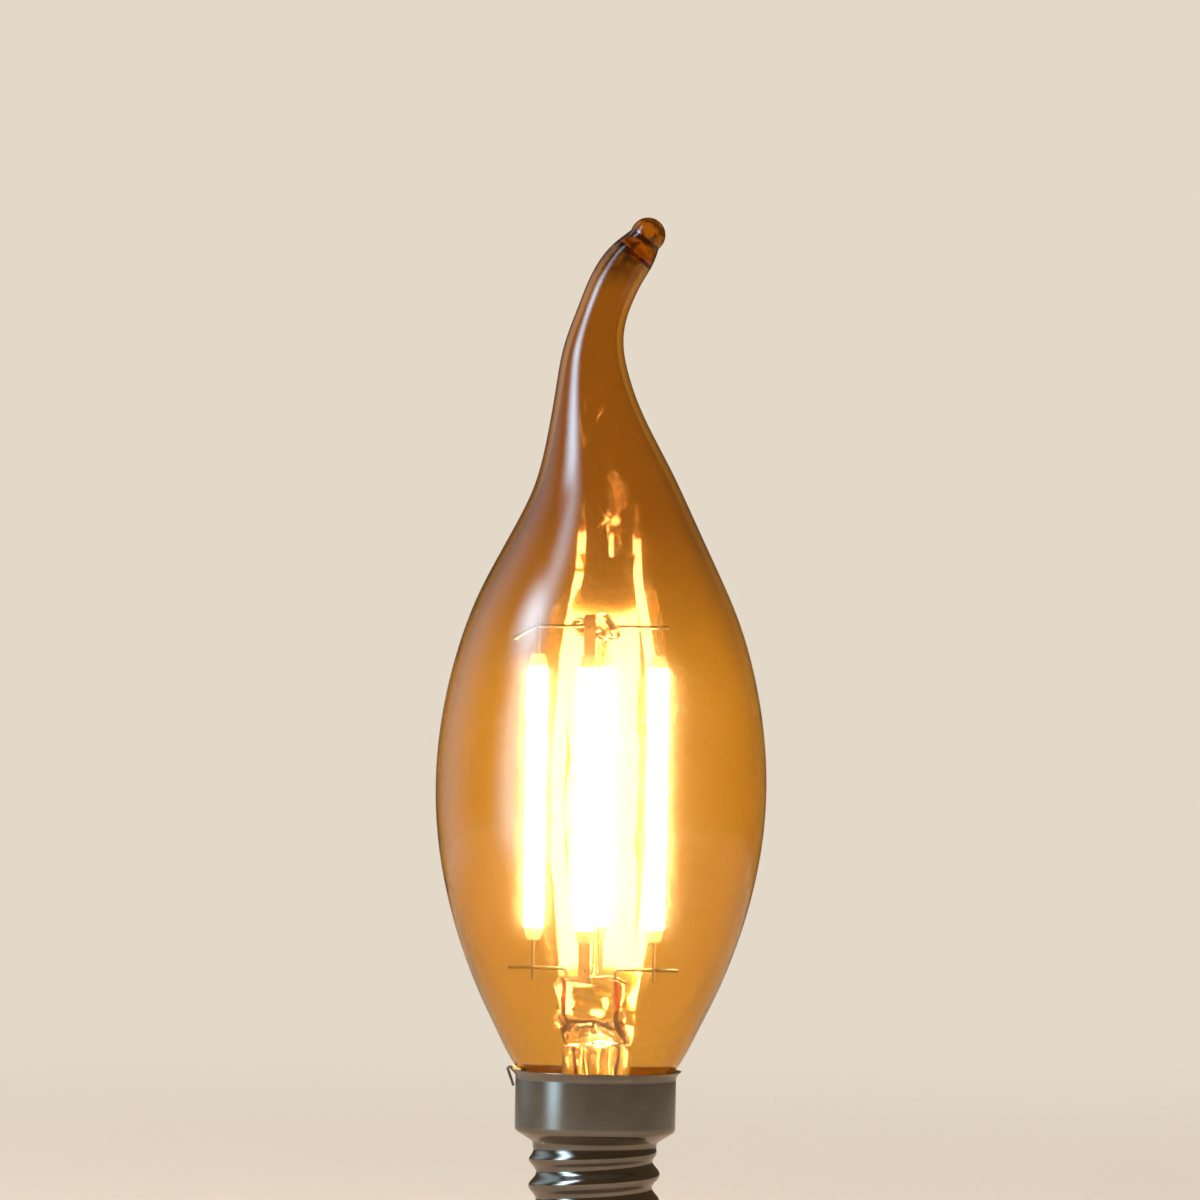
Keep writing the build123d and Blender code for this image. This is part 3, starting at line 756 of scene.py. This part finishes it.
@dataclass
class GlassMount:
    """Stem with its press, exhaust tube, and pillar with a bead."""

    shift: float = -0.75
    tube_radius: float = 3.6
    bore_radius: float = 2.95
    ceiling_rise: float = 0.7
    ceiling_rings: int = 8
    flare_radius: float = 6.6
    flare_foot: float = 20.75
    flare_rise: float = 2.4
    flare_wall: float = 0.6
    flare_rings: int = 14
    tube_top: float = 28.3
    tube_gap: float = 0.2
    tube_rings: int = 60
    tube_wave: Wave = Wave(0.012, 2, 1.3, 0.6)
    press_foot: float = 30.3
    press_top: float = 35.217
    press_half_width: float = 3.65
    press_half_depth: float = 1.75
    press_below: float = 0.3
    press_above: float = 0.4
    press_square: float = 1.4
    press_waves: tuple[Wave, ...] = (Wave(0.035, 2, 2.1), Wave(0.025, -3, 3.3))
    press_crown: float = 0.8
    crown_from: float = 0.1
    crown_to: float = 0.98
    crown_taper: float = 0.2
    crown_rings: int = 9
    stem_around: int = 96
    port_angle: float = math.radians(-52.0)
    port_height: float = 29.7
    port_depth: float = 0.7
    port_spread: float = 0.8
    exhaust_radius: float = 1.8
    exhaust_wall: float = 0.6
    exhaust_tip: float = 17.217
    exhaust_gap: float = 0.05
    exhaust_rings: int = 9
    exhaust_around: int = 40
    lip_reach: float = 2.0
    lip_bend: float = 0.25
    pole_gap: float = 0.08
    pillar_radius: float = 0.3
    pillar_shift: float = -0.2
    pillar_sink: float = 0.35
    pillar_swell: float = 1.1
    foot_swell: float = 0.5
    neck_swell: float = 0.35
    neck_sink: float = 0.1
    neck_below: float = 0.7
    neck_above: float = 0.2
    pillar_rings: tuple[int, int, int] = (60, 24, 56)
    ring_gaps: tuple[float, float, float] = (0.05, 0.04, 0.01)
    bead_height: float = 71.817
    bead_radius: float = 2.4
    bead_half: float = 1.4
    bead_depth: float = 0.72
    bead_power: int = 6
    bead_from: float = 0.3
    bead_to: float = 1.6
    bead_waves: tuple[Wave, ...] = (Wave(0.07, 2, 0.0, 1.1), Wave(0.06, 3, -2.2), Wave(0.05, 5, 3.1))
    bead_around: int = 72
    bead_slump: float = 0.4
    slump_from: float = 0.2
    slump_to: float = 2.2

    def stem(self) -> Surface:
        """Flared tube that flattens into the press.

        The outline at each height is a superellipse: its half-widths and its power go smoothly from the
        tube's circle to the press's rounded rectangle. Low waves stand for melted glass, and a round pit
        for the exhaust port.
        """
        quarter = math.pi / 2
        dome = np.linspace(self.pole_gap, 1, self.ceiling_rings) * quarter
        ceiling = np.stack([self.bore_radius * np.sin(dome),
                            self.tube_top - self.ceiling_rise * (1 - np.cos(dome))], axis=-1)
        bend = np.linspace(0, quarter, self.flare_rings)
        lower, upper = (
            np.stack([reach + (self.flare_radius - reach) * (1 - np.cos(bend)),
                      foot + self.flare_rise * (1 - np.sin(bend))], axis=-1)
            for reach, foot in ((self.bore_radius, self.flare_foot - self.flare_wall),
                                (self.tube_radius, self.flare_foot)))
        climb = np.linspace(self.flare_foot + self.flare_rise + self.tube_gap,
                            self.press_top - self.press_crown, self.tube_rings)
        side = np.stack([np.full(self.tube_rings, self.tube_radius), climb], axis=-1)
        crown = np.linspace(self.crown_from, 1, self.crown_rings) * quarter
        taper = 1 - self.crown_taper * (1 - np.cos(crown))
        top = np.stack([self.tube_radius * taper * np.sqrt(np.cos(crown * self.crown_to)),
                        self.press_top - self.press_crown * (1 - np.sin(crown))], axis=-1)
        profile = np.vstack([ceiling, lower, upper[::-1], side, top])
        solid = (np.arange(len(profile)) >= len(ceiling) + len(lower))[:, None]
        radius, height = profile[:, :1], profile[:, 1:]
        flat = solid * smooth_step(self.tube_top - self.press_below,
                                   self.press_foot + self.press_above, height)
        wide = 1 + flat * (self.press_half_width / self.tube_radius - 1)
        deep = 1 + flat * (self.press_half_depth / self.tube_radius - 1)
        power = 2 + self.press_square * flat
        angle = np.linspace(0, TURN, self.stem_around, endpoint=False)
        outline = ((np.abs(np.cos(angle)) / wide) ** power
                   + (np.abs(np.sin(angle)) / deep) ** power) ** (-1 / power)
        wave = 1 + flat * sum(ripple.at(angle, height) for ripple in self.press_waves)
        wave += solid * self.tube_wave.at(angle, height)
        apart = np.angle(np.exp(1j * (angle - self.port_angle))) * self.tube_radius
        pit = np.exp(-(apart**2 + (height - self.port_height) ** 2) / self.port_spread) * solid
        reach = radius * outline * wave - self.port_depth * pit
        rings = np.stack([self.shift * flat + reach * np.cos(angle), reach * np.sin(angle),
                          np.broadcast_to(height, reach.shape)], axis=-1)
        return skin(rings, np.array([0, 0, self.tube_top]), np.array([self.shift, 0, self.press_top]))

    def exhaust(self) -> Surface:
        """Tube with a round closed end: a profile turned about Z, up the bore and down the outside."""
        dome = np.linspace(self.pole_gap, 1, self.exhaust_rings) * math.pi / 2
        bore = self.exhaust_radius - self.exhaust_wall
        centre = self.exhaust_tip + self.exhaust_radius
        inner, outer = (np.stack([reach * np.sin(dome), centre - reach * np.cos(dome)], axis=-1)
                        for reach in (bore, self.exhaust_radius))
        top = self.tube_top - self.exhaust_gap
        lip = rounded([(bore, top - self.lip_reach), (bore, top), (self.exhaust_radius, top),
                       (self.exhaust_radius, top - self.lip_reach)], (self.lip_bend, self.lip_bend))
        rings = turned(np.vstack([inner, lip, outer[::-1]]), self.exhaust_around)
        return skin(rings, np.array([0, 0, centre - bore]), np.array([0, 0, self.exhaust_tip]))

    def pillar(self) -> Surface:
        """Thin rod that swells into a lumpy bead.

        The radius is the rod's or the bead's ellipse, whichever is more, blended by a sixth power; the
        centre moves from the rod's to the bead's with it. Sines of angle and height stand for melted
        lumps, and the bead's right side slumps.
        """
        foot = self.press_top - self.pillar_sink
        under = self.bead_height - self.bead_half
        crest = self.bead_height + self.bead_half
        low, high = under - self.neck_below, under + self.neck_above
        rod_rings, neck_rings, bead_rings = self.pillar_rings
        low_gap, high_gap, crest_gap = self.ring_gaps
        height = np.concatenate([np.linspace(foot, low, rod_rings),
                                 np.linspace(low + low_gap, high, neck_rings),
                                 np.linspace(high + high_gap, crest - crest_gap, bead_rings)])
        rise = np.clip((height - self.bead_height) / self.bead_half, -1, 1)
        bead = self.bead_radius * np.sqrt(1 - rise**2)
        near = (np.exp(-((height - foot) / self.foot_swell) ** 2)
                + np.exp(-((under + self.neck_sink - height) / self.neck_swell) ** 2))
        rod = np.where(height < self.bead_height, self.pillar_radius * (1 + self.pillar_swell * near), 0)
        radius = (rod**self.bead_power + bead**self.bead_power) ** (1 / self.bead_power)
        angle = np.linspace(0, TURN, self.bead_around, endpoint=False)
        lump, z = smooth_step(self.bead_from, self.bead_to, bead)[:, None], height[:, None]
        reach = radius[:, None] * (1 + lump * sum(wave.at(angle, z) for wave in self.bead_waves))
        across = reach * np.cos(angle)
        slump = self.bead_slump * lump * smooth_step(self.slump_from, self.slump_to, across)
        rings = np.stack([self.pillar_shift + (self.shift - self.pillar_shift) * lump + across,
                          reach * np.sin(angle) * (1 - lump * (1 - self.bead_depth)), z - slump], axis=-1)
        return skin(rings, np.array([self.pillar_shift, 0, foot - low_gap]),
                    np.array([self.shift, 0, crest]))

    def build(self) -> None:
        """Makes the three glass pieces."""
        add_piece("pressed_stem", self.stem(), STEM_GLASS, "glass_stem")
        add_piece("exhaust_pipe", self.exhaust(), STEM_GLASS, "exhaust_tube")
        add_piece("pillar_and_bead", self.pillar(), STEM_GLASS, "glass_pillar")


class Quarter(Enum):
    """Where a filament stands, by the camera's left and right."""

    FRONT = "front"
    RIGHT = "right"
    BACK = "back"
    LEFT = "left"


@dataclass
class Filaments:
    """Four luminous bars and their terminals."""

    end_radius: float = 0.7
    end_bend: float = 0.3
    taper: float = 1.5
    taper_bend: float = 0.7
    ripple: float = 0.02
    ripple_pitch: float = 2.4
    step: float = 0.2
    around: int = 40

    def bar(self, node: str) -> Surface:
        """Bar turned about its own axis: rounded ends, tapers, and a low ripple where the coat was laid.

        Args:
            node: the CAD solid, whose box gives the bar's place, length and radius.

        Returns:
            The bar.
        """
        low, high = (np.array(corner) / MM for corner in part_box(node))
        centre = (low + high) / 2
        radius = (high[0] - low[0]) / 2
        foot, top = low[2], high[2]
        line = spaced(rounded([
            (POLE, foot), (self.end_radius, foot), (radius, foot + self.taper),
            (radius, top - self.taper), (self.end_radius, top), (POLE, top)],
            (self.end_bend, self.taper_bend, self.taper_bend, self.end_bend)), self.step)
        from_end = np.minimum(line[:, 1] - foot, top - line[:, 1])
        inside = smooth_step(self.taper, 2 * self.taper, from_end)
        line[:, 0] -= self.ripple * inside * (1 + np.sin(TURN * line[:, 1] / self.ripple_pitch)) / 2
        rings = turned(line, self.around) + np.array([centre[0], centre[1], 0])
        return skin(rings, np.array([*centre[:2], foot]), np.array([*centre[:2], top]))

    def build(self) -> None:
        """Makes the bars and dresses the terminals."""
        for quarter in Quarter:
            node = f"filament_{quarter.value}"
            add_piece(f"lit_bar_{quarter.value}", self.bar(node), LIT_PHOSPHOR, node)
            dress_node(f"terminal_{quarter.value}_upper", TERMINAL_STEEL)
            dress_node(f"terminal_{quarter.value}_lower", TERMINAL_STEEL)


@dataclass
class Wires:
    """Anchors, inner leads, seal wires and outer leads."""

    anchors: tuple[str, ...] = ("top_anchor_left", "top_anchor_right", "press_anchor")
    sides: tuple[str, ...] = ("left", "right")

    def build(self) -> None:
        """Dresses each wire."""
        for name in self.anchors:
            dress_node(name, NICKEL_WIRE)
        for side in self.sides:
            dress_node(f"inner_lead_{side}", NICKEL_WIRE)
            dress_node(f"seal_wire_{side}", SEAL_COPPER)
            dress_node(f"outer_lead_{side}", LEAD_COPPER)


@dataclass
class ScrewCap:
    """Threaded shell with its skirt, insulator, contact, cement and side lead."""

    mouth_radius: float = 5.0
    mouth: float = 3.6
    crimp: float = 4.1
    thread_foot: float = 4.6
    thread_top: float = 17.017
    thread_radius: float = 6.545
    thread_throw: float = 0.4
    pitch: float = 2.822
    runout: float = 1.69
    shoulder_bend: float = 17.417
    skirt_foot: float = 18.617
    skirt_radius: float = 8.5
    rim_foot: float = RIM_FOOT
    rim: float = CAP_RIM
    rim_radius: float = 9.05
    sheet: float = 0.25
    shell_bends: tuple[float, ...] = (0.3, 0.35, 0.35, 0.22)
    shell_step: float = 0.17
    shell_around: int = 128
    contact_radius: float = 2.4
    contact_height: float = 0.8
    contact_bends: tuple[float, ...] = (0.3, 0.1, 0.05, 0.2)
    contact_step: float = 0.1
    contact_around: int = 64
    pin_radius: float = 0.8
    pin_top: float = 5.7
    face_radius: float = 3.2
    floor: float = 5.2
    cone_gap: float = 0.05
    lip_gap: float = 0.3
    lip_rise: float = 0.3
    floor_gap: float = 0.35
    insulator_bends: tuple[float, ...] = (0.35, 0.1, 0.1, 0.15, 0.1, 0.2)
    insulator_step: float = 0.15
    insulator_around: int = 80
    cement_foot: float = 20.217
    cement_seam: float = 21.0
    cement_waist: float = 22.1
    cement_top: float = 24.0
    cement_bore: float = 7.4
    cement_throat: float = 7.82
    cement_bends: tuple[float, ...] = (0.1, 0.1, 0.1, 0.15, 0.3)
    cement_around: int = 96
    bead_arc: tuple[float, float] = (183.5, 205.0)
    bead_rings: int = 60
    bead_around: int = 16
    bead_reach: float = 8.72
    bead_sway: Wave = Wave(0.05, 12)
    bead_stand: float = 0.1
    bead_radius: float = 0.16
    bead_lumps: tuple[Wave, ...] = (Wave(0.07, 17), Wave(0.05, 31, 0.0, 1.0))
    bead_end: float = 0.02
    lead_radius: float = 0.15
    lead_path: tuple[tuple[float, float, float], ...] = (
        (-4.4, -0.55, 14.817), (-4.4, -0.55, 16.417), (-8.06, 0, 19.367), (-8.06, 0, 24.2),
        (-8.62, 0, 25.2), (-9.41, 0, 25.2), (-8.7, 0, 23.217))
    lead_bends: tuple[float, ...] = (0.3, 0.5, 0.3, 0.25, 0.25)
    lead_across: tuple[float, float, float] = (0.13, 0.99, 0.0)
    lead_steps: int = 9
    lead_step: float = 0.12

    def shell(self) -> Surface:
        """Drawn sheet: one profile outside, the same set in by the sheet, turned about Z.

        In the threaded part each ring's centre runs round a small circle once for each pitch, and that
        throw fades out at both ends.
        """
        line = rounded([
            (self.mouth_radius, self.mouth), (self.thread_radius, self.crimp),
            (self.thread_radius, self.shoulder_bend), (self.skirt_radius, self.skirt_foot),
            (self.skirt_radius, self.rim_foot), (self.rim_radius, self.rim)], self.shell_bends)
        outer = spaced(line, self.shell_step)
        along = unit(np.gradient(outer, axis=0))
        inner = outer + self.sheet * np.stack([-along[:, 1], along[:, 0]], axis=-1)
        inner[:, 1] = np.minimum(inner[:, 1], self.rim)
        profile = np.vstack([outer, inner[::-1]])
        z = profile[:, 1]
        fade = smooth_step(self.thread_foot, self.thread_foot + self.runout, z)
        fade *= 1 - smooth_step(self.thread_top - self.runout, self.thread_top, z)
        rings = turned(profile, self.shell_around)
        rings[..., 0] += (self.thread_throw * fade * np.cos(TURN * z / self.pitch))[:, None]
        rings[..., 1] += (self.thread_throw * fade * np.sin(TURN * z / self.pitch))[:, None]
        return skin(rings, loop=True)

    def insulator(self) -> Surface:
        """Cone below the shell, and a floor inside it with a hole for the pin: a profile turned about Z."""
        lip = self.mouth_radius - self.lip_gap
        wall = self.thread_radius - self.floor_gap
        line = rounded([
            (self.pin_radius, self.contact_height), (self.face_radius, self.contact_height),
            (self.mouth_radius - self.cone_gap, self.mouth), (lip, self.mouth), (lip, self.crimp),
            (wall, self.crimp + self.lip_rise), (wall, self.floor), (self.pin_radius, self.floor)],
            self.insulator_bends)
        return skin(turned(spaced(line, self.insulator_step), self.insulator_around), loop=True)

    def contact(self) -> Surface:
        """Flat-headed nail: a profile turned about Z."""
        line = rounded([
            (POLE, 0.0), (self.contact_radius, 0.0), (self.contact_radius, self.contact_height),
            (self.pin_radius, self.contact_height), (self.pin_radius, self.pin_top), (POLE, self.pin_top)],
            self.contact_bends)
        rings = turned(spaced(line, self.contact_step), self.contact_around)
        return skin(rings, np.array([0, 0, 0.0]), np.array([0, 0, self.pin_top]))

    def cement(self) -> Surface:
        """Ring between neck and skirt, and a lumpy bead along part of the rim.

        The ring is a profile turned about Z. The bead is a circle carried along an arc; its radius swells
        and fades by sines of the way along.
        """
        wall = self.skirt_radius - self.sheet
        seam = (self.cement_bore, self.cement_seam)
        ring = rounded([
            seam, (self.cement_bore, self.cement_foot), (wall, self.cement_foot), (wall, self.cement_top),
            (self.cement_throat, self.cement_top), (self.cement_bore, self.cement_waist), seam],
            self.cement_bends)[:-1]
        arc = np.radians(np.linspace(*self.bead_arc, self.bead_rings))
        share = np.linspace(0, 1, self.bead_rings)
        fade = np.sqrt(np.sin(math.pi * np.clip(share, self.bead_end, 1 - self.bead_end)))
        swell = (self.bead_radius + sum(lump.at(share) for lump in self.bead_lumps)) * fade
        turn = np.linspace(0, TURN, self.bead_around, endpoint=False)[:, None]
        reach = self.bead_reach + self.bead_sway.at(share) + swell * np.cos(turn)
        height = self.rim + self.bead_stand + swell * np.sin(turn)
        rings = np.stack([reach * np.cos(arc), reach * np.sin(arc), height], axis=-1).transpose(1, 0, 2)
        bead = skin(rings, rings[0].mean(0), rings[-1].mean(0))
        return joined(skin(turned(ring, self.cement_around), loop=True), bead)

    def side_lead(self) -> Surface:
        """Wire from the board, up inside the skirt and over the rim: a circle carried along a bent path."""
        path = spaced(rounded(self.lead_path, self.lead_bends, self.lead_steps), self.lead_step)
        return tube(path, self.lead_radius, self.lead_across)

    def build(self) -> None:
        """Makes the cap's pieces."""
        add_piece("plated_shell", self.shell(), NICKEL_PLATE, "cap_shell")
        add_piece("insulator_cone", self.insulator(), BLACK_INSULATOR, "cap_insulator")
        add_piece("contact_nail", self.contact(), TINNED_CONTACT, "contact_pin")
        add_piece("cement_ring", self.cement(), BAKED_CEMENT, "basing_cement")
        add_piece("folded_side_lead", self.side_lead(), NICKEL_WIRE, "side_lead")


@dataclass
class Driver:
    """Board and components inside the cap."""

    components: tuple[tuple[str, Finish], ...] = (
        ("driver_board", BOARD_LAMINATE), ("bridge_rectifier", BLACK_PACKAGE),
        ("driver_chip", BLACK_PACKAGE), ("smoothing_capacitor", DRAWN_CAN),
        ("fuse_resistor", RESISTOR_COAT), ("centre_lead", LEAD_COPPER))

    def build(self) -> None:
        """Dresses each component."""
        for name, finish in self.components:
            dress_node(name, finish)


# The studio, in metres


@dataclass(frozen=True)
class PaleFloor(Finish):
    """Matte pale paper that fades into the backdrop a little way from the bulb."""

    colour: str
    fade_from: float
    fade_to: float
    thinned: float

    def shader(self, tree: Tree) -> Socket:
        """Matte floor near the bulb; clear far away and from below, and faint in reflections."""
        place = add_node(tree, "ShaderNodeTexCoord").outputs["Object"]
        away = add_node(tree, "ShaderNodeVectorMath", {0: place}, operation="LENGTH").outputs["Value"]
        fade = add_node(tree, "ShaderNodeMapRange", {
            "Value": away, "From Min": self.fade_from, "From Max": self.fade_to},
            interpolation_type="SMOOTHSTEP").outputs["Result"]
        below = add_node(tree, "ShaderNodeNewGeometry").outputs["Backfacing"]
        path = add_node(tree, "ShaderNodeLightPath").outputs
        mirrored = add_node(tree, "ShaderNodeMath", {
            0: path["Is Glossy Ray"], 1: path["Is Transmission Ray"]}, operation="SUBTRACT").outputs[0]
        dim = add_node(tree, "ShaderNodeMath", {0: mirrored, 1: self.thinned, 2: below},
                       operation="MULTIPLY_ADD", use_clamp=True).outputs[0]
        clear = add_node(tree, "ShaderNodeMath", {0: fade, 1: dim}, operation="MAXIMUM").outputs[0]
        paper = add_node(tree, "ShaderNodeBsdfDiffuse", {"Color": linear(self.colour)}).outputs[0]
        gap = add_node(tree, "ShaderNodeBsdfTransparent").outputs[0]
        return add_node(tree, "ShaderNodeMixShader", {0: clear, 1: paper, 2: gap}).outputs[0]


@dataclass(frozen=True)
class SoftCard(Finish):
    """Pale card that glows most in its middle."""

    colour: str
    glow: float
    fade: float
    middle: float = 0.5
    peak: float = 2.0

    def shader(self, tree: Tree) -> Socket:
        """Glow that fades towards the card's four edges, over what lies behind it."""
        place = add_node(tree, "ShaderNodeTexCoord").outputs["UV"]
        apart = add_node(tree, "ShaderNodeSeparateXYZ", {"Vector": place}).outputs
        edges = [add_node(tree, "ShaderNodeMath", {0: apart[axis], 1: self.middle},
                          operation="PINGPONG").outputs[0] for axis in ("X", "Y")]
        soft = [add_node(tree, "ShaderNodeMapRange", {"Value": edge, "From Max": reach, "To Max": top},
                         interpolation_type="SMOOTHSTEP").outputs["Result"]
                for edge, reach, top in zip(edges, (self.middle, self.fade), (1.0, self.glow))]
        peak = add_node(tree, "ShaderNodeMath", {0: soft[0], 1: self.peak}, operation="POWER").outputs[0]
        both = add_node(tree, "ShaderNodeMath", {0: peak, 1: soft[1]}, operation="MULTIPLY").outputs[0]
        glow = add_node(tree, "ShaderNodeEmission", {
            "Color": linear(self.colour), "Strength": both}).outputs[0]
        clear = add_node(tree, "ShaderNodeBsdfTransparent").outputs[0]
        return add_node(tree, "ShaderNodeAddShader", {0: glow, 1: clear}).outputs[0]


# Pale paper: matte and warm, gone from sight before the floor's edge
PALE_PAPER = PaleFloor("pale_paper_floor", "", colour="#DDD6CC", fade_from=0.14, fade_to=0.5, thinned=0.5)


@dataclass(frozen=True)
class Card:
    """A flat upright card with soft edges, turned towards the bulb and seen in reflections only."""

    name: str
    place: tuple[float, float]
    foot: float
    size: tuple[float, float]
    glow: float
    fade: float
    colour: str = "#C0E6FF"

    def build(self) -> None:
        """Makes the card: four corners either side of its place, square to the line to the axis."""
        x, y = self.place
        across = np.array([-y, x, 0]) / math.hypot(x, y)
        wide, tall = self.size
        corners = np.array([(0, 0), (1, 0), (1, 1), (0, 1)], np.float32)
        points = (np.array([x, y, self.foot]) + across * (corners[:, :1] - 0.5) * wide
                  + np.array([0, 0, 1]) * corners[:, 1:] * tall)
        mesh = bpy.data.meshes.new(self.name)
        mesh.from_pydata(points.tolist(), [], [(0, 1, 2, 3)])
        mesh.uv_layers.new(name="card").uv.foreach_set("vector", corners.ravel())
        finish = SoftCard(f"glowing_{self.name}", "", self.colour, self.glow, self.fade)
        mesh.materials.append(finish.material())
        obj = bpy.data.objects.new(self.name, mesh)
        obj.visible_camera = obj.visible_diffuse = obj.visible_transmission = obj.visible_shadow = False
        bpy.context.scene.collection.objects.link(obj)


@dataclass
class Studio:
    """Pale floor and backdrop, one soft light at the left with its cards, and the camera."""

    floor_radius: float = 2.6
    floor_drop: float = 0.00002
    floor_start: float = 0.05
    floor_rings: int = 12
    floor_around: int = 64
    backdrop: str = "#E4D9C8"
    surround: str = "#5E4C38"
    fill_colour: str = "#FFF6EA"
    fill: float = 0.85
    window_place: tuple[float, float, float] = (-0.55, -0.245, 0.3)
    window_aim: tuple[float, float, float] = (0.0, 0.0, 0.06)
    window_size: tuple[float, float] = (0.3, 0.5)
    window_colour: str = "#F0F5FF"
    window_power: float = 3.0
    cards: tuple[Card, ...] = (
        Card("tall_card", place=(-0.105, -0.058), foot=0.003, size=(0.10, 0.3), glow=6.0, fade=0.12),
        Card("short_card", place=(-0.111, -0.045), foot=0.1, size=(0.12, 0.09), glow=13.0, fade=0.5),
        Card("side_card", place=(-0.125, 0.07), foot=0.003, size=(0.24, 0.3), glow=0.9, fade=0.12))
    camera_place: tuple[float, float, float] = (-0.00047, -0.85, 0.07475)
    camera_roll: float = math.radians(1.04)
    lens: float = 241.0
    sensor: float = 36.0

    def floor(self) -> None:
        """A disc: rings of growing radius about the origin, a hair below the contact."""
        radius = np.linspace(self.floor_start, 1, self.floor_rings) ** 2 * self.floor_radius / MM
        height = -self.floor_drop / MM
        profile = np.stack([radius, np.full(self.floor_rings, height)], axis=-1)
        surface = skin(turned(profile, self.floor_around), np.array([0, 0, height]))
        mesh = bpy.data.meshes.new("floor")
        mesh.from_pydata((surface.points * MM).tolist(), [], surface.faces)
        if mesh.polygons[0].normal.z < 0:
            mesh.flip_normals()
        mesh.materials.append(PALE_PAPER.material())
        obj = bpy.data.objects.new("floor", mesh)
        bpy.context.scene.collection.objects.link(obj)

    def world(self) -> None:
        """Even light all round; a pale backdrop for the eye and through glass, a dim surround for gloss."""
        world = bpy.data.worlds.new("pale_studio")
        world.use_nodes = True
        tree = world.node_tree
        tree.nodes.clear()
        path = add_node(tree, "ShaderNodeLightPath").outputs
        seen = add_node(tree, "ShaderNodeMath", {0: path["Is Camera Ray"], 1: path["Is Transmission Ray"]},
                        operation="MAXIMUM").outputs[0]
        light = add_node(tree, "ShaderNodeBackground", {
            "Color": linear(self.fill_colour), "Strength": self.fill})
        sight = add_node(tree, "ShaderNodeBackground", {"Color": linear(self.backdrop)})
        dim = add_node(tree, "ShaderNodeBackground", {"Color": linear(self.surround)})
        unseen = add_node(tree, "ShaderNodeMixShader", {
            0: path["Is Glossy Ray"], 1: light.outputs[0], 2: dim.outputs[0]}).outputs[0]
        mixed = add_node(tree, "ShaderNodeMixShader", {0: seen, 1: unseen, 2: sight.outputs[0]}).outputs[0]
        add_node(tree, "ShaderNodeOutputWorld", {"Surface": mixed})
        bpy.context.scene.world = world

    def window(self) -> None:
        """A soft light at the left, turned towards the bulb."""
        lamp = bpy.data.lights.new("tall_softbox", "AREA")
        lamp.shape = "RECTANGLE"
        lamp.size, lamp.size_y = self.window_size
        lamp.energy = self.window_power
        lamp.color = linear(self.window_colour)[:3]
        obj = bpy.data.objects.new("tall_softbox", lamp)
        obj.location = self.window_place
        aim = Vector(self.window_aim) - Vector(self.window_place)
        obj.rotation_euler = aim.to_track_quat("-Z", "Y").to_euler()
        obj.visible_camera = obj.visible_glossy = obj.visible_transmission = False
        bpy.context.scene.collection.objects.link(obj)

    def camera(self) -> None:
        """Level camera in front of the bulb, rolled a little, as one held by hand."""
        data = bpy.data.cameras.new("camera")
        data.lens = self.lens
        data.sensor_width = self.sensor
        obj = bpy.data.objects.new("camera", data)
        c, s = math.cos(self.camera_roll), math.sin(self.camera_roll)
        x, y, z = self.camera_place
        obj.matrix_world = Matrix(((c, -s, 0, x), (0, 0, -1, y), (s, c, 0, z), (0, 0, 0, 1)))
        bpy.context.scene.collection.objects.link(obj)
        bpy.context.scene.camera = obj

    def rays(self) -> None:
        """A plain view, bounces enough for the nested glass, and no limit on the bars' reflections."""
        scene = bpy.context.scene
        scene.view_settings.view_transform = "Standard"
        scene.cycles.max_bounces = 28
        scene.cycles.transmission_bounces = 28
        scene.cycles.transparent_max_bounces = 24
        scene.cycles.glossy_bounces = 8
        scene.cycles.diffuse_bounces = 3
        scene.cycles.sample_clamp_indirect = 0.0
        scene.cycles.use_denoising = True

    def build(self) -> None:
        """Sets the stage."""
        self.floor()
        self.world()
        self.window()
        for card in self.cards:
            card.build()
        self.camera()
        self.rays()


def main() -> None:
    """Builds the bulb's parts in order, then the studio."""
    logging.basicConfig(level=logging.INFO, format="%(message)s")
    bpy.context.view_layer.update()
    for assembly in (Envelope(), GlassMount(), Filaments(), Wires(), ScrewCap(), Driver(), Studio()):
        assembly.build()
        LOG.info("%s done", type(assembly).__name__)


if __name__ == "__main__":
    main()
